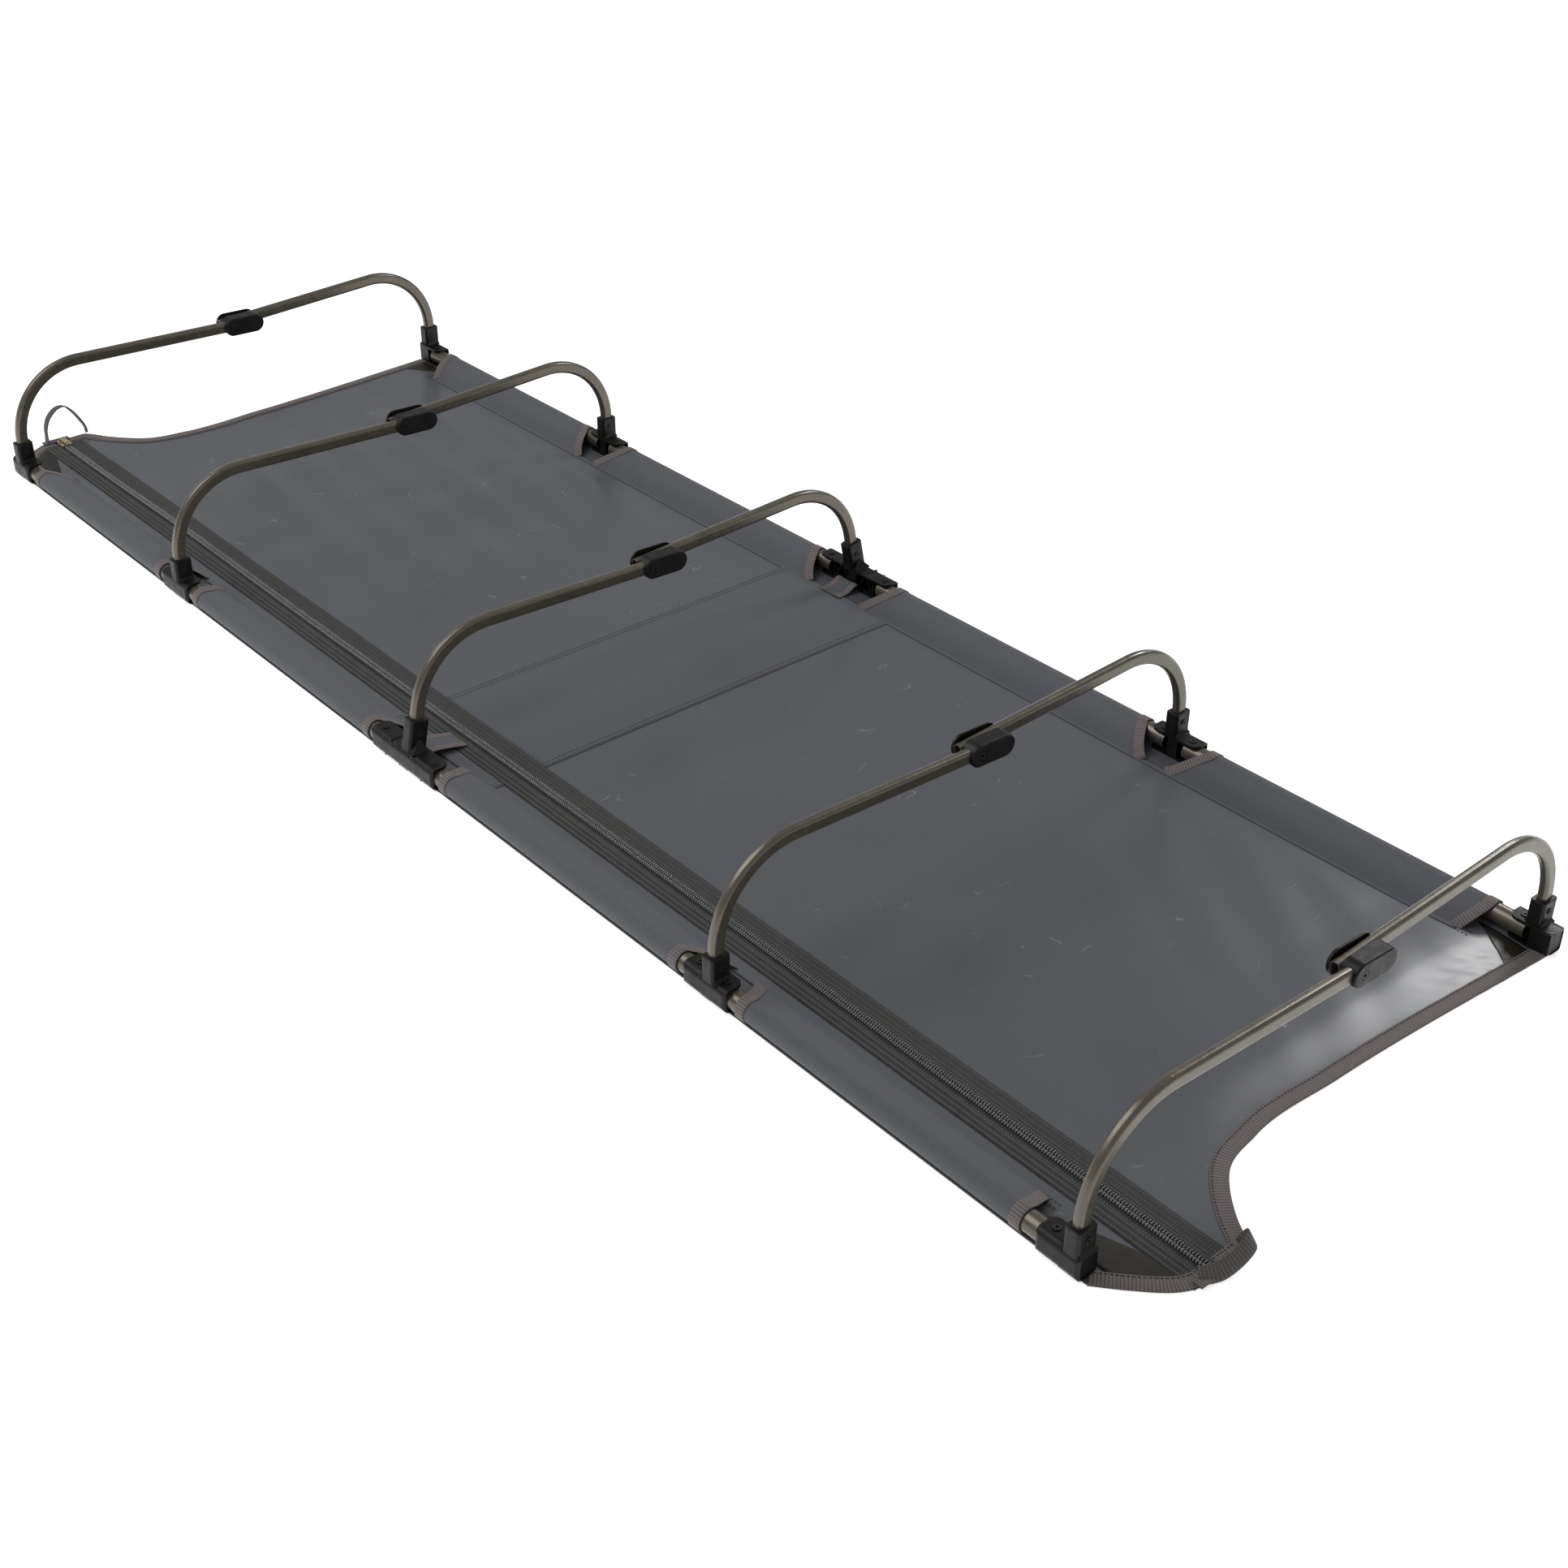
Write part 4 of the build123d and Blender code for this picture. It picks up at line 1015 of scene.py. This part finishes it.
class STRETCHER_OT_stage(BuildOperator):
    """Pale floor, soft light and the camera"""

    bl_idname = "stretcher.stage"
    bl_label = "Stage"

    def execute(self, context):
        stage = context.scene.stretcher_stage
        corners = [(x * FLOOR_HALF, y * FLOOR_HALF, 0) for x, y in ((-1, -1), (1, -1), (1, 1), (-1, 1))]
        floor = mesh_object("floor", corners, [(0, 1, 2, 3)])
        f = Finish("floor", tuple(stage.floor), 0.9)
        f.tint(f.noise(1.5, 2), 0.995, 1.005)
        f.set(Emission_Color=(1, 1, 1, 1), Emission_Strength=0.62)
        floor.data.materials.append(f.mat)
        world = bpy.data.worlds.new("studio")
        world.use_nodes = True
        sky = world.node_tree.nodes["Background"]
        sky.inputs["Color"].default_value = (1, 1, 1, 1)
        sky.inputs["Strength"].default_value = stage.sky
        context.scene.world = world
        context.scene.view_settings.view_transform = "Standard"
        self.soft_light("key", (-1.4, -1.6, 2.9), (0, 0, 0), 2.6, stage.key_power)
        self.soft_light("back", (0.30, 2.08, 1.56), (0.92, 0.15, 0), 0.6, stage.sheen_power)
        self.camera(context, stage)
        return {"FINISHED"}

    def soft_light(self, name, place, target, size, power):
        """A square soft light aimed at a point."""
        data = bpy.data.lights.new(name, "AREA")
        data.shape = "SQUARE"
        data.size = size
        data.energy = power
        light = bpy.data.objects.new(name, data)
        light.location = place
        light.rotation_euler = (Vector(target) - Vector(place)).to_track_quat("-Z", "Y").to_euler()
        bpy.context.scene.collection.objects.link(light)

    def camera(self, context, stage):
        """Camera above the foot end, on the zip's side."""
        level = math.cos(CAMERA_TIP)
        look = Vector(
            (level * math.sin(CAMERA_TURN), level * math.cos(CAMERA_TURN), math.sin(CAMERA_TIP))
        )
        right = look.cross(Vector((0, 0, 1))).normalized()
        up = right.cross(look)
        right = right * math.cos(CAMERA_ROLL) + up * math.sin(CAMERA_ROLL)
        up = right.cross(look)
        data = bpy.data.cameras.new("camera")
        data.lens = stage.lens
        data.sensor_width = 36
        camera = bpy.data.objects.new("camera", data)
        turned = Matrix((right, up, -look)).transposed().to_4x4()
        camera.matrix_world = Matrix.Translation(CAMERA_PLACE) @ turned
        bpy.context.scene.collection.objects.link(camera)
        context.scene.camera = camera


class STRETCHER_PT_panel(bpy.types.Panel):
    """Lists the stretcher's steps in the sidebar."""

    bl_label = "Stretcher"
    bl_space_type = "VIEW_3D"
    bl_region_type = "UI"
    bl_category = "Stretcher"

    def draw(self, context):
        for operator in STEPS:
            self.layout.operator(operator.bl_idname)
        for group in ("stretcher_cloth", "stretcher_frame", "stretcher_zip", "stretcher_stage"):
            settings = getattr(context.scene, group)
            for key in settings.__annotations__:
                self.layout.prop(settings, key)


STEPS = (
    STRETCHER_OT_stage,
    STRETCHER_OT_finishes,
    STRETCHER_OT_panels,
    STRETCHER_OT_sleeves,
    STRETCHER_OT_bindings,
    STRETCHER_OT_seams,
    STRETCHER_OT_corners,
    STRETCHER_OT_zip,
    STRETCHER_OT_loops,
)
GROUPS = {
    "stretcher_cloth": ClothSettings,
    "stretcher_frame": FrameSettings,
    "stretcher_zip": ZipSettings,
    "stretcher_stage": StageSettings,
}


def register():
    """Register the settings, the steps and the panel."""
    for name, group in GROUPS.items():
        bpy.utils.register_class(group)
        setattr(bpy.types.Scene, name, PointerProperty(type=group))
    for operator in STEPS:
        bpy.utils.register_class(operator)
    bpy.utils.register_class(STRETCHER_PT_panel)


def unregister():
    """Take everything out again."""
    bpy.utils.unregister_class(STRETCHER_PT_panel)
    for operator in reversed(STEPS):
        bpy.utils.unregister_class(operator)
    for name, group in GROUPS.items():
        delattr(bpy.types.Scene, name)
        bpy.utils.unregister_class(group)


def main():
    """Build the stretcher and its stage."""
    register()
    for operator in STEPS:
        family, step = operator.bl_idname.split(".")
        getattr(getattr(bpy.ops, family), step)()


if __name__ == "__main__":
    main()
